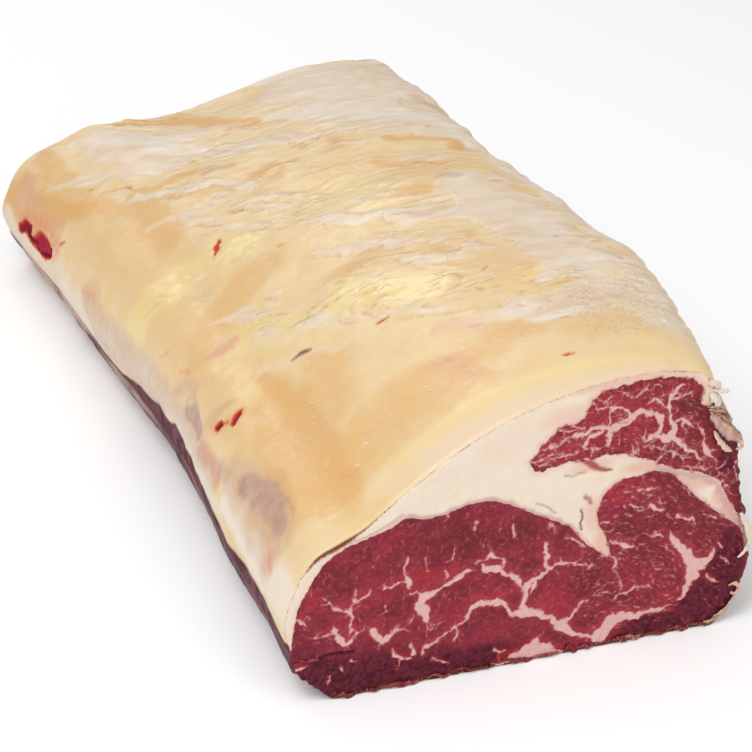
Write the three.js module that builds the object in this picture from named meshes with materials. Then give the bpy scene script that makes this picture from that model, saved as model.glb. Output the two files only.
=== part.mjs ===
// Raw dry-aged beef striploin: an eye muscle, a smaller cap muscle over its right shoulder,
// and the fat that covers both and runs between them. It is cut square across at both ends.
// Millimetres, +Z up. The length runs along Y with the shown cut at -Y, and the flat underside is Z = 0.
import * as THREE from "three";

// Driving dimensions
const LENGTH = 400;
const HALF_WIDTH = 87;
const HEIGHT = 105.4;
const LAYER_GAP = 0.3;
const STEPS = 34;
const TOP_PIECES = 2;

// Changes along the length, at even stations from the shown cut to the far end
const RIGHT_SPREAD = [0, 15, 13.5, 14, 23, 29];
const LEFT_SPREAD = [0, 1.5, 6, 2, -1, -6];
const HEIGHT_RATIO = [1, 1.03, 1, 0.95, 0.89, 0.82];
const UNDERSIDE_SPREAD = 0.3;
const FAR_SWELLS = [
  { rise: 10, middle: -60, reach: 22 },
  { rise: -16, middle: -8, reach: 38 },
];
const FAR_END_SKEW = -14;
const FAR_END_BOW = -7;

// The top edge draws in a little where the knife went through, and the steps crowd together there
const EDGE_DRAW = 4;
const EDGE_DRAW_REACH = 14;
const FRONT_CROWDING = 0.6;

// Slow waves across the fat on top: height, length along the loin, and slant to one side.
// They grow to their full height over a first share of the length.
const FAT_WAVES = [
  { height: 0.7, length: 83, slant: 0.27 },
  { height: 0.6, length: 57, slant: -0.35 },
];
const WAVE_GROWTH = 0.125;

// Colour and roughness of each layer
const FAT_LOOK = { color: 0xe6cfa6, roughness: 0.45 };
const CAP_LOOK = { color: 0x8c2b35, roughness: 0.4 };
const EYE_LOOK = { color: 0x7a2631, roughness: 0.4 };

// Section at the shown cut as [x, z], each line named after what it bounds
const FAT_OUTSIDE = [
  [-86.2, 20], [-88.4, 28], [-88.6, 35], [-86, 42.5], [-82.5, 50], [-77, 56.5], [-69, 60.4],
  [-60, 64.5], [-49, 73], [-36, 81.8], [-20, 91.2], [0, 98.8], [20, 103.6], [40, 105.4],
  [54, 104], [62, 101.5], [66.5, 96.5], [68.6, 89.4],
];
const CAP_EDGE = [
  [68.6, 89.4], [64.5, 88.2], [61.8, 90.4], [63.2, 94], [61, 97.6], [55, 100.6], [45, 102.2],
  [33, 101.4], [24, 99.6], [20.4, 96.4], [19.4, 92.4], [16, 90.4], [10.5, 89.6], [5, 85],
  [2, 81.4], [-1, 78.5], [2.6, 74], [8, 75], [14, 76], [20, 75], [28, 76], [38, 73.8],
  [47, 69.4], [57, 64.8], [66, 61.6], [71, 58], [74.2, 52.4], [77, 47], [80.2, 42.4], [83.4, 39.6],
];
const CAP_OUTSIDE = [
  [68.6, 89.4], [73, 81.5], [77, 72], [78.5, 62], [79.5, 53], [81.6, 45], [83.4, 39.6],
];
const SEAM_OUTSIDE = [
  [83.4, 39.6], [84.9, 35], [85.6, 30], [85.4, 26.5],
];
const EYE_EDGE = [
  [85.4, 26.5], [82.6, 28.6], [82.4, 33], [79.4, 38.6], [73, 44], [65.4, 50.8], [58, 58.4],
  [52.4, 64.2], [46, 66.6], [40, 65.6], [34, 65.4], [28, 61.4], [25.2, 56], [25, 50.4],
  [28.2, 44.6], [30.2, 38.6], [30.4, 35.4], [25.6, 38.8], [19.6, 44.4], [15.6, 49.8], [8, 54.4],
  [0, 59], [-8, 63.4], [-16, 66.4], [-25, 66], [-32, 64], [-40, 64.2], [-45, 65.4], [-51, 62.4],
  [-60, 60], [-68, 57.4], [-74, 53.4], [-78.4, 47], [-82.6, 39.6], [-85, 31], [-86.2, 20],
];
const EYE_OUTSIDE = [
  [85.4, 26.5], [83.8, 19], [81, 11], [76.5, 4], [69, 0], [35, 0], [0, 0], [-35, 0], [-70, 0],
  [-74.5, 2.5], [-80, 8.5], [-85, 13.5], [-86.2, 20],
];

// Catmull-Rom points through a section line, with a number of pieces between given points
function line(points, pieces = 1) {
  const curve = new THREE.SplineCurve(points.map(([x, z]) => new THREE.Vector2(x, Math.max(z, 0))));
  return curve.getPoints(pieces * (points.length - 1));
}

// The direction to the left of the way from one point to the next
function leftOf(from, to) {
  const along = to.clone().sub(from).normalize();
  return new THREE.Vector2(-along.y, along.x);
}

// A line moved to its left by a distance, with its corners mitred
function moved(points, distance) {
  const last = points.length - 1;
  return points.map((point, i) => {
    const before = leftOf(points[Math.max(i - 1, 0)], points[Math.max(i, 1)]);
    const after = leftOf(points[Math.min(i, last - 1)], points[Math.min(i + 1, last)]);
    const mitre = distance / (1 + before.dot(after));
    return point.clone().addScaledVector(before.add(after), mitre);
  });
}

// One closed section from lines that follow one another, leaving out doubled meeting points
function closedSection(lines) {
  const points = lines.flatMap((part) => part.slice(0, -1));
  return new THREE.Shape(points);
}

// A value along the length from its list of stations
function profile(values) {
  const curve = new THREE.SplineCurve(values.map((value, i) => new THREE.Vector2(i, value)));
  return (share) => curve.getPoint(share).y;
}

const rightSpread = profile(RIGHT_SPREAD);
const leftSpread = profile(LEFT_SPREAD);
const heightRatio = profile(HEIGHT_RATIO);

// Where a section point (x, z) comes to lie at a share of the length
function place(x, z, share) {
  const up = z / HEIGHT;
  const left = Math.max(-x / HALF_WIDTH, 0);
  const right = Math.max(x / HALF_WIDTH, 0);
  const side = x / HALF_WIDTH;
  const distance = share * LENGTH;
  const drawn = EDGE_DRAW * (1 - Math.exp(-distance / EDGE_DRAW_REACH));
  let swell = 0;
  for (const { rise, middle, reach } of FAR_SWELLS) {
    swell += rise * share * share * Math.exp(-(((x - middle) / reach) ** 2));
  }
  const grown = Math.min(share / WAVE_GROWTH, 1);
  let wave = 0;
  for (const { height, length, slant } of FAT_WAVES) {
    wave += height * grown * Math.sin((2 * Math.PI * (distance + slant * x)) / length);
  }
  const spread = UNDERSIDE_SPREAD + (1 - UNDERSIDE_SPREAD) * up;
  return new THREE.Vector3(
    x + rightSpread(share) * right * spread + leftSpread(share) * left + drawn * right * up,
    distance + share * (FAR_END_SKEW * side + FAR_END_BOW * side * side),
    z * heightRatio(share) + swell * up + (drawn + wave) * up * up,
  );
}

// A layer drawn out along the length and set in its place
function layer(name, section, look) {
  const geometry = new THREE.ExtrudeGeometry(section, { depth: 1, steps: STEPS, bevelEnabled: false });
  geometry.rotateX(Math.PI / 2);
  const position = geometry.attributes.position;
  for (let i = 0; i < position.count; i++) {
    const step = 1 + position.getY(i);
    const share = step * (FRONT_CROWDING + (1 - FRONT_CROWDING) * step);
    const point = place(position.getX(i), position.getZ(i), share);
    position.setXYZ(i, point.x, point.y, point.z);
  }
  geometry.computeVertexNormals();
  const mesh = new THREE.Mesh(geometry, new THREE.MeshStandardMaterial({ ...look, metalness: 0 }));
  mesh.name = name;
  return mesh;
}

const fatOutside = line(FAT_OUTSIDE, TOP_PIECES);
const capEdge = line(CAP_EDGE);
const eyeEdge = line(EYE_EDGE);
const capEdgeIn = moved(capEdge, LAYER_GAP);
const eyeEdgeIn = moved(eyeEdge, LAYER_GAP);
const capOutside = line(CAP_OUTSIDE);
const eyeOutside = line(EYE_OUTSIDE);

const fatSection = closedSection([fatOutside, capEdge, line(SEAM_OUTSIDE), eyeEdge]);
const capSection = closedSection([
  [capEdgeIn[0], ...capOutside.slice(1, -1), capEdgeIn.at(-1)],
  [...capEdgeIn].reverse(),
]);
const eyeSection = closedSection([
  [eyeEdgeIn[0], ...eyeOutside.slice(1, -1), eyeEdgeIn.at(-1)],
  [...eyeEdgeIn].reverse(),
]);

const striploin = new THREE.Group();
striploin.name = "striploin";
striploin.add(
  layer("fat_cover", fatSection, FAT_LOOK),
  layer("cap_lean", capSection, CAP_LOOK),
  layer("eye_lean", eyeSection, EYE_LOOK),
);

// Centre the loin over the origin on its underside
const box = new THREE.Box3().setFromObject(striploin);
const middle = box.getCenter(new THREE.Vector3());
for (const mesh of striploin.children) {
  mesh.geometry.translate(-middle.x, -middle.y, -box.min.z);
}

export default striploin;
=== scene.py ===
"""Looks of a raw dry-aged beef striploin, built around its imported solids.

Lengths are in millimetres until a mesh is made, which is in metres. The section lies in x and z,
d is the distance from the shown cut along the loin, and s runs over the fat from its left foot.
"""
import math

import bpy
import numpy as np
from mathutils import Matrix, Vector
from mathutils.geometry import delaunay_2d_cdt


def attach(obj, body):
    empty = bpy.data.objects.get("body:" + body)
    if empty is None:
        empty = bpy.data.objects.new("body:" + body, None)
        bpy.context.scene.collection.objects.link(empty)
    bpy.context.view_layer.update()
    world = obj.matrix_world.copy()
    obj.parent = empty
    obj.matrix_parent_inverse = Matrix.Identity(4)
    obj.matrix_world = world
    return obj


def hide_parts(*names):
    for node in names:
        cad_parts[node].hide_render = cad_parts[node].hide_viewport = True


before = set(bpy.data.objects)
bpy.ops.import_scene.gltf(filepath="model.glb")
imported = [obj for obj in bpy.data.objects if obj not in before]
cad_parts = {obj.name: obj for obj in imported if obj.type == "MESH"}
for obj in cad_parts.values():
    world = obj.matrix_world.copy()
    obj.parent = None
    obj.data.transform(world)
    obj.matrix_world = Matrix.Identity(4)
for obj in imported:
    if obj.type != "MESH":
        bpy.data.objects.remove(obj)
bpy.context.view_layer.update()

# A millimetre in metres, and the number that all random draws start from
MM = 0.001
SEED = 7

# From a screen colour to a surface colour: its share, and the grey that sheen adds, moist and dried
SURFACE_GAIN = 0.92
SHEEN_VEIL = 0.028
DRY_VEIL = 0.006

# Driving dimensions, as in the part's source
LENGTH = 400
HALF_WIDTH = 87
HEIGHT = 105.4
RIGHT_SPREAD = [0, 15, 13.5, 14, 23, 29]
LEFT_SPREAD = [0, 1.5, 6, 2, -1, -6]
HEIGHT_RATIO = [1, 1.03, 1, 0.95, 0.89, 0.82]
UNDERSIDE_SPREAD = 0.3
FAR_SWELLS = [(10, -60, 22), (-16, -8, 38)]
FAR_END_SKEW = -14
FAR_END_BOW = -7
EDGE_DRAW = 4
EDGE_DRAW_REACH = 14
FAT_WAVES = [(0.7, 83, 0.27), (0.6, 57, -0.35)]
WAVE_GROWTH = 0.125

# From the section's own place to the frame of the part
FRAME_SHIFT = (-3.17, -203.5, 0)

# Points along the section lines: their spacing, the fine pieces behind them, and rounds of easing
FAT_LINE_SPACING = 1.15
CAP_EDGE_SPACING = 0.6
EYE_EDGE_SPACING = 0.7
CAP_LINE_SPACING = 1.0
SEAM_LINE_SPACING = 1.2
EYE_LINE_SPACING = 1.6
LINE_PIECES = 60
LINE_EASINGS = 3

# Height and size of the tears in the edges between fat and lean
CAP_EDGE_TEAR = (0.7, 2.4)
EYE_EDGE_TEAR = (0.4, 2.6)

# Spacing of the rows along the loin, with the first rows beside each cut given one by one
FINE_ROW_SPACING = 1.02
SIDE_ROW_SPACING = 3.0
INNER_ROWS = 9
END_ROWS = [0, 0.3, 0.7, 1.2, 1.9]
EVEN_ROWS_FROM = 2.8

# Spacing of the points over the cuts, and how the nets of triangles keep off the outline
FAT_CUT_SPACING = 0.75
FAR_FAT_CUT_SPACING = 1.6
EYE_CUT_SPACING = 0.46
CAP_CUT_SPACING = 0.34
FAR_CUT_COARSENESS = 2
TRIANGLE_HEIGHT = 0.866
OUTLINE_CLEARANCE = 0.55
NET_LIMIT = 1e-7

# How much the arris of both cuts is rounded off, and how far that reaches
ARRIS_ROUND = 0.8
ARRIS_ROUND_REACH = 1.1

# How far the marbling of the far cut wanders off that of the shown one
FAR_DRIFT = 8

# Factors that scatter the corners of the noise, and its gain
HASH_COLUMN = 374761393
HASH_ROW = 668265263
HASH_SEED = 974634787
HASH_MIX = 1274126177
HASH_MASK = 0xFFFFFFFF
NOISE_GAIN = 1.5

# Raster of how deep each spot of the section lies in a strand: step, low corner, rows and columns
RASTER = 0.25
RASTER_LOW = (-96, -4)
RASTER_SIZE = (500, 780)
RASTER_EMPTY = -2.0
STRAND_MARGIN = 1.2

# Section at the shown cut, as in the part's source
FAT_OUTSIDE = [
    (-86.2, 20), (-88.4, 28), (-88.6, 35), (-86, 42.5), (-82.5, 50), (-77, 56.5), (-69, 60.4),
    (-60, 64.5), (-49, 73), (-36, 81.8), (-20, 91.2), (0, 98.8), (20, 103.6), (40, 105.4),
    (54, 104), (62, 101.5), (66.5, 96.5), (68.6, 89.4),
]
CAP_EDGE = [
    (68.6, 89.4), (64.5, 88.2), (61.8, 90.4), (63.2, 94), (61, 97.6), (55, 100.6), (45, 102.2),
    (33, 101.4), (24, 99.6), (20.4, 96.4), (19.4, 92.4), (16, 90.4), (10.5, 89.6), (5, 85),
    (2, 81.4), (-1, 78.5), (2.6, 74), (8, 75), (14, 76), (20, 75), (28, 76), (38, 73.8),
    (47, 69.4), (57, 64.8), (66, 61.6), (71, 58), (74.2, 52.4), (77, 47), (80.2, 42.4), (83.4, 39.6),
]
CAP_OUTSIDE = [
    (68.6, 89.4), (73, 81.5), (77, 72), (78.5, 62), (79.5, 53), (81.6, 45), (83.4, 39.6),
]
SEAM_OUTSIDE = [
    (83.4, 39.6), (84.9, 35), (85.6, 30), (85.4, 26.5),
]
EYE_EDGE = [
    (85.4, 26.5), (82.6, 28.6), (82.4, 33), (79.4, 38.6), (73, 44), (65.4, 50.8), (58, 58.4),
    (52.4, 64.2), (46, 66.6), (40, 65.6), (34, 65.4), (28, 61.4), (25.2, 56), (25, 50.4),
    (28.2, 44.6), (30.2, 38.6), (30.4, 35.4), (25.6, 38.8), (19.6, 44.4), (15.6, 49.8), (8, 54.4),
    (0, 59), (-8, 63.4), (-16, 66.4), (-25, 66), (-32, 64), (-40, 64.2), (-45, 65.4), (-51, 62.4),
    (-60, 60), (-68, 57.4), (-74, 53.4), (-78.4, 47), (-82.6, 39.6), (-85, 31), (-86.2, 20),
]
EYE_OUTSIDE = [
    (85.4, 26.5), (83.8, 19), (81, 11), (76.5, 4), (69, 0), (35, 0), (0, 0), (-35, 0), (-70, 0),
    (-74.5, 2.5), (-80, 8.5), (-85, 13.5), (-86.2, 20),
]

# Marbling of the eye: the way of each strand over the cut as (x, z, half-width)
EYE_STRANDS = [
    [(-44.5, 50, 0.9), (-45.4, 47, 0.6), (-45.4, 45, 0.5), (-44.2, 42, 0.8), (-44, 38.6, 0.5)],
    [(-53.5, 42, 0.3), (-52.4, 40.2, 0.6), (-50, 39.8, 0.5), (-48, 41, 0.5), (-44.5, 40.5, 0.5)],
    [(-43.8, 35.6, 0.4), (-41.8, 36.8, 0.6), (-40.4, 35, 0.6), (-40, 33, 0.8)],
    [(-40.6, 29.5, 1.2), (-39.8, 32, 1.8), (-37.5, 33.8, 1.2), (-34.5, 34.6, 0.9), (-31, 36.8, 0.7),
     (-27, 38.6, 1.0), (-24.5, 40, 1.1), (-22, 40.4, 0.7), (-19.8, 40.6, 0.3)],
    [(-40, 31.5, 1.4), (-39, 28.5, 1.5), (-37.8, 25, 0.9), (-36.8, 22, 0.3), (-37.3, 18, 0.2)],
    [(-38, 30, 1.0), (-36.4, 28, 0.6)],
    [(-36, 20, 0.2), (-34, 21, 0.3), (-31, 22.3, 0.3)],
    [(-64.5, 35.6, 0.6), (-64.8, 33, 0.8), (-64.5, 30, 0.6), (-65, 27, 0.5), (-65, 24, 0.3)],
    [(-74.5, 41.5, 0.3), (-73, 38.4, 0.4), (-69.5, 35, 0.5), (-65, 33, 0.6)],
    [(-64.6, 35.4, 0.4), (-63.4, 37, 0.6), (-63.3, 39.5, 0.5), (-62.8, 42, 0.3)],
    [(-63.4, 36.4, 0.4), (-61, 38.2, 0.5), (-58, 39.5, 0.4)],
    [(-84, 34.4, 0.3), (-82.4, 32, 0.5), (-80.4, 30.8, 0.3)],
    [(-82.3, 32, 0.3), (-80.8, 34, 0.35), (-79.6, 33.2, 0.3)],
    [(-80, 26.5, 0.2), (-75, 25.8, 0.4), (-71, 26.4, 0.4)],
    [(-86, 17.6, 0.1), (-80, 17.2, 0.2), (-74, 17.8, 0.1)],
    [(-71, 29.4, 0.4), (-70.3, 26.6, 1.0), (-69, 23.5, 1.1), (-67, 21.2, 1.0), (-65, 22.2, 0.7),
     (-62.5, 24.6, 0.5), (-60, 27.3, 0.3)],
    [(-57.8, 24.6, 0.8), (-56, 22.8, 1.2), (-54.2, 19.6, 1.3), (-52, 20.2, 1.0), (-50, 21.4, 0.8),
     (-48, 23, 0.6), (-45, 23.4, 0.35), (-43.3, 25.4, 0.35), (-42.2, 28, 0.3)],
    [(-54, 19.5, 0.6), (-54.8, 16, 0.2)],
    [(-49.8, 16.4, 0.3), (-50.2, 13.2, 0.6), (-47.5, 11.8, 0.7), (-43, 10, 0.5)],
    [(-43.2, 15.8, 0.4), (-42.4, 11.8, 0.6)],
    [(-38.7, 11.2, 0.5), (-38.4, 13.6, 0.6), (-35.5, 14.4, 0.6), (-32, 17, 0.5), (-29, 18.8, 0.4),
     (-25.5, 19.8, 0.5), (-23.6, 21.4, 0.6), (-22.4, 24, 0.8), (-20, 26, 1.1), (-16.5, 26.8, 1.2),
     (-13, 26.5, 1.2), (-10, 25, 1.1), (-7.5, 23, 0.9), (-6, 20.9, 0.9)],
    [(-26.3, 19, 0.4), (-26.2, 16, 0.6), (-27.4, 13.3, 0.4)],
    [(-35.5, 8, 0.3), (-33, 6.6, 0.4), (-31.5, 6, 0.3)],
    [(-17.6, 41.6, 0.4), (-16.5, 40.2, 0.8), (-14, 39.8, 1.0), (-11, 39.2, 1.2), (-9.3, 37.6, 1.1),
     (-8, 36, 0.9), (-5, 34.8, 0.9), (-3.8, 32.4, 0.8), (-2.8, 30.4, 0.7)],
    [(-20, 43, 0.3), (-16.6, 43.4, 0.5), (-14.9, 45, 0.6), (-12.5, 43.7, 0.5), (-9.8, 43.2, 0.5),
     (-9.3, 39.5, 0.5)],
    [(8.2, 35.5, 0.9), (5.5, 33.8, 1.0), (3, 32.8, 1.1), (0.4, 31.6, 1.4), (-1.2, 28.6, 1.5),
     (-1.8, 25, 1.1), (-1.5, 22, 1.2), (-0.4, 20, 1.2)],
    [(2, 31.4, 0.9), (2, 28.6, 0.7), (0.8, 26.4, 0.5)],
    [(5.2, 46, 0.4), (6.3, 43.4, 0.9), (6.5, 41, 0.9), (5.2, 39.2, 0.7), (6.4, 37, 0.7), (8.4, 35.5, 0.8)],
    [(8.4, 35.6, 0.5), (12.5, 36.6, 0.6), (17.8, 35.7, 0.5), (19.5, 34.4, 0.45), (25, 33.6, 0.2)],
    [(-6.4, 20.9, 0.8), (-3, 20, 1.1), (0, 19.5, 1.3), (3, 18.8, 1.3), (6, 17.4, 1.2), (8.6, 15.6, 1.3),
     (10.6, 13.4, 1.5), (13, 11, 1.8), (15.5, 9, 1.6), (18, 7, 1.1), (22, 5.2, 0.7), (26.5, 4.2, 0.9)],
    [(12.4, 12.4, 1.0), (15.5, 14.4, 0.8), (18, 16.4, 0.6), (20, 19.4, 0.5), (22.5, 20, 0.3)],
    [(-13, 0.8, 0.4), (-6, 1.8, 1.4), (0, 3, 2.6), (5, 2.8, 2.8), (10, 1.8, 1.6), (13.5, 0.8, 0.5)],
    [(1.5, 4.5, 2.0), (3.4, 7, 1.3), (4, 9.4, 0.3)],
    [(-12.5, 7.6, 0.3), (-10, 6, 0.6), (-7.6, 5.5, 0.4)],
    [(26.5, 3, 1.6), (29, 5.4, 2.4), (31, 8.4, 2.2), (34, 10.6, 1.9), (38, 9.8, 1.5), (43, 10, 1.3),
     (48, 10.4, 0.8), (57, 10.7, 0.3)],
    [(53, 41.4, 0.5), (54.6, 38, 1.0), (57, 35, 1.2), (59.2, 32, 1.3), (61, 28.6, 2.0), (62.4, 24.5, 2.4),
     (62.4, 20, 1.7), (60.8, 16.6, 1.3), (58.4, 13.4, 0.8)],
    [(62, 27, 1.8), (66, 26, 2.0), (69, 26.8, 1.4), (70.3, 29.4, 0.7), (69.6, 31.6, 0.3)],
    [(72.6, 33, 0.4), (74.6, 31.4, 0.5)],
    [(30.6, 41.8, 0.4), (34, 40, 0.6), (36.8, 38.8, 0.8), (40, 37.6, 0.3)],
    [(30.6, 36, 0.5), (32.8, 33, 0.6), (32.3, 29.8, 0.4), (34, 25.6, 0.3), (35.8, 23.6, 0.2)],
    [(25.2, 50, 0.5), (29.6, 50.2, 0.6)],
    [(37, 54.7, 0.3), (40, 53.8, 0.5), (42.6, 52.7, 0.3)],
    [(45.2, 54.2, 0.5), (46.4, 51.6, 1.0), (48.4, 50.5, 0.7), (50.2, 50, 0.4)],
    [(40, 60, 0.4), (43, 59.8, 0.6), (46, 59.7, 0.4)],
    [(48, 54, 0.4), (51, 53.6, 0.45)],
    [(51.4, 48.2, 0.3), (54, 46.4, 0.4)],
    [(55.8, 47.2, 0.6), (58.5, 45.8, 0.7), (60.6, 44.7, 0.6), (62.6, 42.2, 0.3)],
    [(67.4, 45, 0.3), (71.4, 42.2, 0.45)],
    [(46.5, 43.2, 0.3), (48, 41, 0.5), (50.2, 40.2, 0.4)],
    [(51.8, 36.2, 0.3), (54.2, 33, 0.3), (56.5, 30.2, 0.2)],
    [(33.4, 18.4, 0.4), (36, 19.8, 0.6), (40.5, 21.2, 0.5), (44, 21, 0.4), (47, 19.8, 0.2)],
    [(68, 21.2, 0.4), (70, 18.6, 0.5), (73, 17, 0.3)],
    [(73.6, 27.6, 0.3), (77.4, 24, 0.35)],
    [(13, 46.8, 0.4), (16, 46, 0.6), (18.6, 43, 0.5), (21.4, 41.2, 0.3)],
    [(-19.6, 59.4, 0.6), (-20.5, 56, 0.4)],
    [(-6.8, 55.4, 0.5), (-6, 51, 0.5)],
    [(-27.4, 50, 0.4), (-28.4, 46.4, 0.5)],
    [(-38.4, 49, 0.4), (-37.8, 43.6, 0.4)],
    [(-31, 42.4, 0.5), (-30.5, 40, 0.5)],
    [(-52.4, 33.4, 0.4), (-52, 30.6, 0.4)],
    [(-30.8, 65, 0.6), (-30.6, 62.4, 0.3)],
    [(7.8, 53.6, 0.3), (7.2, 51.4, 0.3)],
    [(-85.6, 15.2, 0.5), (-83.4, 14.4, 0.7), (-80.6, 15.2, 0.3)],
    [(-72.6, 9, 0.4), (-72.8, 7, 0.4)],
    [(-68.4, 12, 0.4), (-68.2, 10.4, 0.4)],
    [(-64.4, 14, 0.4), (-63, 13, 0.4)],
]

# Marbling of the cap, in the same way
CAP_STRANDS = [
    [(12, 84.6, 0.4), (16, 85.2, 0.8), (19.5, 86, 0.9), (24, 87, 1.0), (28, 86.4, 1.2), (32, 86.2, 1.1),
     (35, 86.8, 1.2), (36.6, 89, 1.5)],
    [(36, 89.2, 1.4), (40, 90.4, 0.9), (42.5, 89.6, 0.9), (45, 88.4, 1.0), (46.8, 86.8, 1.2), (47.5, 84, 1.0),
     (46.8, 81.6, 0.8), (44, 80, 0.9), (42, 79.2, 0.5)],
    [(44, 80, 0.8), (47, 79.4, 1.2), (50, 78.4, 1.6), (51.8, 80, 1.3)],
    [(37, 95.4, 0.4), (40, 97.4, 0.5), (41.6, 98.6, 0.3)],
    [(28, 92.4, 0.5), (30, 93.6, 0.6), (33, 93, 0.6), (34.5, 91.2, 0.7), (34.6, 89.2, 0.6), (32, 87.6, 0.5)],
    [(27.8, 91.6, 0.4), (28, 89, 0.5), (27.8, 87, 0.6)],
    [(21, 96.4, 0.4), (22.4, 95, 0.5), (23.2, 93.4, 0.6), (26, 94.3, 0.5), (29.4, 93.4, 0.5)],
    [(18.6, 79.6, 0.7), (19.2, 82.4, 0.9), (21.4, 84, 0.8), (25.4, 85.4, 0.8)],
    [(19, 80, 0.5), (23, 79.2, 0.4), (28, 79.4, 0.3)],
    [(28.4, 86, 0.8), (27.8, 84, 0.7), (28.6, 82, 0.6), (27.2, 81.2, 0.4)],
    [(50.4, 95.4, 0.9), (50.3, 92, 0.7), (50, 89, 0.7), (51, 86.4, 0.7), (51.7, 84, 1.0), (52.2, 81.6, 1.2)],
    [(50.4, 95, 0.6), (53, 96.6, 0.7), (55.2, 98.3, 0.4)],
    [(50.6, 94, 0.5), (54, 93.8, 0.5), (58.4, 94.2, 0.3)],
    [(42.4, 92.6, 0.5), (44, 94.2, 0.6), (46.4, 93.4, 0.5), (47.8, 91.6, 0.4), (48.5, 90.2, 0.3)],
    [(52, 82, 1.1), (52.6, 79, 1.1), (54.2, 77, 1.1), (55.8, 75.2, 0.9), (57.4, 73.4, 0.8), (60, 71.4, 0.6),
     (62, 68.8, 0.5), (64.4, 66.8, 0.3)],
    [(53, 84, 0.5), (55.5, 84.4, 0.7), (57.4, 83.4, 0.7), (59.4, 81.4, 0.4)],
    [(56, 83.6, 0.5), (55.8, 81.6, 0.4), (57, 79.6, 0.3)],
    [(61.6, 82.6, 0.4), (62.2, 80, 0.5), (63.8, 77.4, 0.6), (64.3, 74, 0.7), (65, 71.2, 1.0), (67, 69, 0.7),
     (69.6, 66.2, 0.4)],
    [(36.4, 78.8, 0.3), (37, 76.4, 0.5), (38.4, 74.2, 0.5)],
    [(38.6, 79, 0.3), (39.2, 77, 0.4), (39, 75, 0.3)],
    [(19.6, 76, 0.5), (22, 73.6, 0.5), (24, 72, 0.4)],
    [(31.4, 82.4, 0.3), (32, 79.4, 0.4)],
    [(41.4, 82.4, 0.4), (40.4, 80.6, 0.5)],
    [(3, 82.4, 0.3), (5.4, 82, 0.4), (8, 83, 0.4), (12, 84.6, 0.5)],
    [(-0.6, 78.4, 0.5), (2.4, 78.6, 0.5), (6, 79.4, 0.4), (11, 80.2, 0.3)],
    [(2.6, 76.4, 0.4), (8, 78, 0.4), (12, 78.6, 0.4), (16.4, 79.2, 0.4)],
    [(10, 88, 0.3), (13, 87.6, 0.4), (16.4, 87.4, 0.3)],
    [(14, 89.8, 0.3), (16, 88.6, 0.4), (18.6, 88.2, 0.3)],
    [(41, 77.6, 0.3), (46, 75.8, 0.3), (50, 74, 0.3), (54, 71, 0.3), (57, 69, 0.2)],
    [(44.6, 70.4, 0.4), (47, 69.8, 0.4)],
    [(23, 98, 0.3), (25.4, 96.8, 0.4), (28, 96.4, 0.3)],
    [(30, 99.6, 0.2), (33, 98, 0.3), (36.4, 96.4, 0.3)],
    [(44, 99.8, 0.3), (47, 98.4, 0.3)],
    [(56, 66.2, 0.3), (62, 65, 0.3), (68, 63.4, 0.3)],
    [(66, 66, 0.1), (70, 62.4, 0.25), (73.4, 57.6, 0.2), (76, 52, 0.15)],
    [(76.6, 67, 0.1), (77, 62, 0.25), (78, 57, 0.15)],
]

# Side branches of the strands: how many for each millimetre, and how long
EYE_TWIGS = (0.16, 5)
CAP_TWIGS = (0.5, 6)

# Loose flecks: how many, their area as (x, x, z, z), and the range of their half-width
LEFT_FLECKS = (420, (-86, 24, 2, 66), (-0.06, 0.18))
RIGHT_FLECKS = (520, (22, 84, 2, 66), (0.04, 0.38))
CAP_FLECKS = (600, (0, 84, 40, 103), (-0.05, 0.25))

# Slant of the loose flecks in the eye and in the cap, as angles over x
EYE_GRAIN = [(-60, 10, 40, 80), (1.5, 1.2, -0.4, -0.6)]
CAP_GRAIN = [(0, 34, 48, 80), (0.5, 0.5, -0.6, -0.8)]

# Lean dried dark on the cut, as (x, z, reach in x, reach in z, strength)
DRIED = [
    (-62, 2, 40, 16, 1.4), (-78, 10, 10, 11, 1.2), (-22, 1, 36, 11, 1.3), (48, 4, 18, 6, 1.1),
    (71, 11, 17, 13, 1.1), (77, 25, 10, 15, 1.1), (-83, 21, 7, 4, 0.6), (79, 60, 4, 22, 0.7),
    (73, 65, 5, 6, 1.3), (66, 86, 5, 6, 0.5), (75.4, 70.6, 2.4, 2.2, 1.4),
]

# Crack across the lower left of the eye
EYE_CRACK = [(-86.6, 17.9), (-80, 17.2), (-72, 17.9), (-64, 17.3)]

# Lean of a brighter and of a deeper red, in the same way
BRIGHT = [
    (-36, 41, 13, 4.5, 0.9), (-13, 29.5, 13, 3.5, 0.8), (8, 21, 8, 6, 0.9), (-5, 6.5, 7, 3.5, 0.8),
    (60, 32, 8, 4, 0.6), (-60, 36, 12, 5, 0.5), (-79, 42, 5, 8, 0.6), (-57, 27.5, 9, 3, 0.5),
    (43, 25.5, 9, 3.5, 0.6), (55, 15, 9, 4, 0.6), (28, 14, 7, 6, 0.4), (-28, 27, 9, 7, 0.4),
    (25, 8, 6, 3, 0.6), (81, 36, 2.5, 4, 1.0), (-50, 44, 6, 3, 0.4), (35, 61, 13, 6, 0.8),
    (30, 90, 26, 11, 0.7), (12, 80, 16, 7, 0.8), (40, 78, 14, 5, 0.5), (55, 66, 12, 3, 0.5),
]
DEEP = [
    (-16, 52, 26, 6, 0.7), (24, 30, 7, 8, 0.6), (68, 42, 9, 6, 0.6), (40, 46, 9, 7, 0.4), (48, 32, 7, 5, 0.3),
    (-30, 57, 18, 5, 0.4), (20, 12, 4, 5, 0.3), (56, 89, 6, 6, 0.8), (57, 77, 4, 6, 0.5), (50, 73, 8, 4, 0.5),
    (67, 80, 5, 7, 0.5),
]

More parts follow.
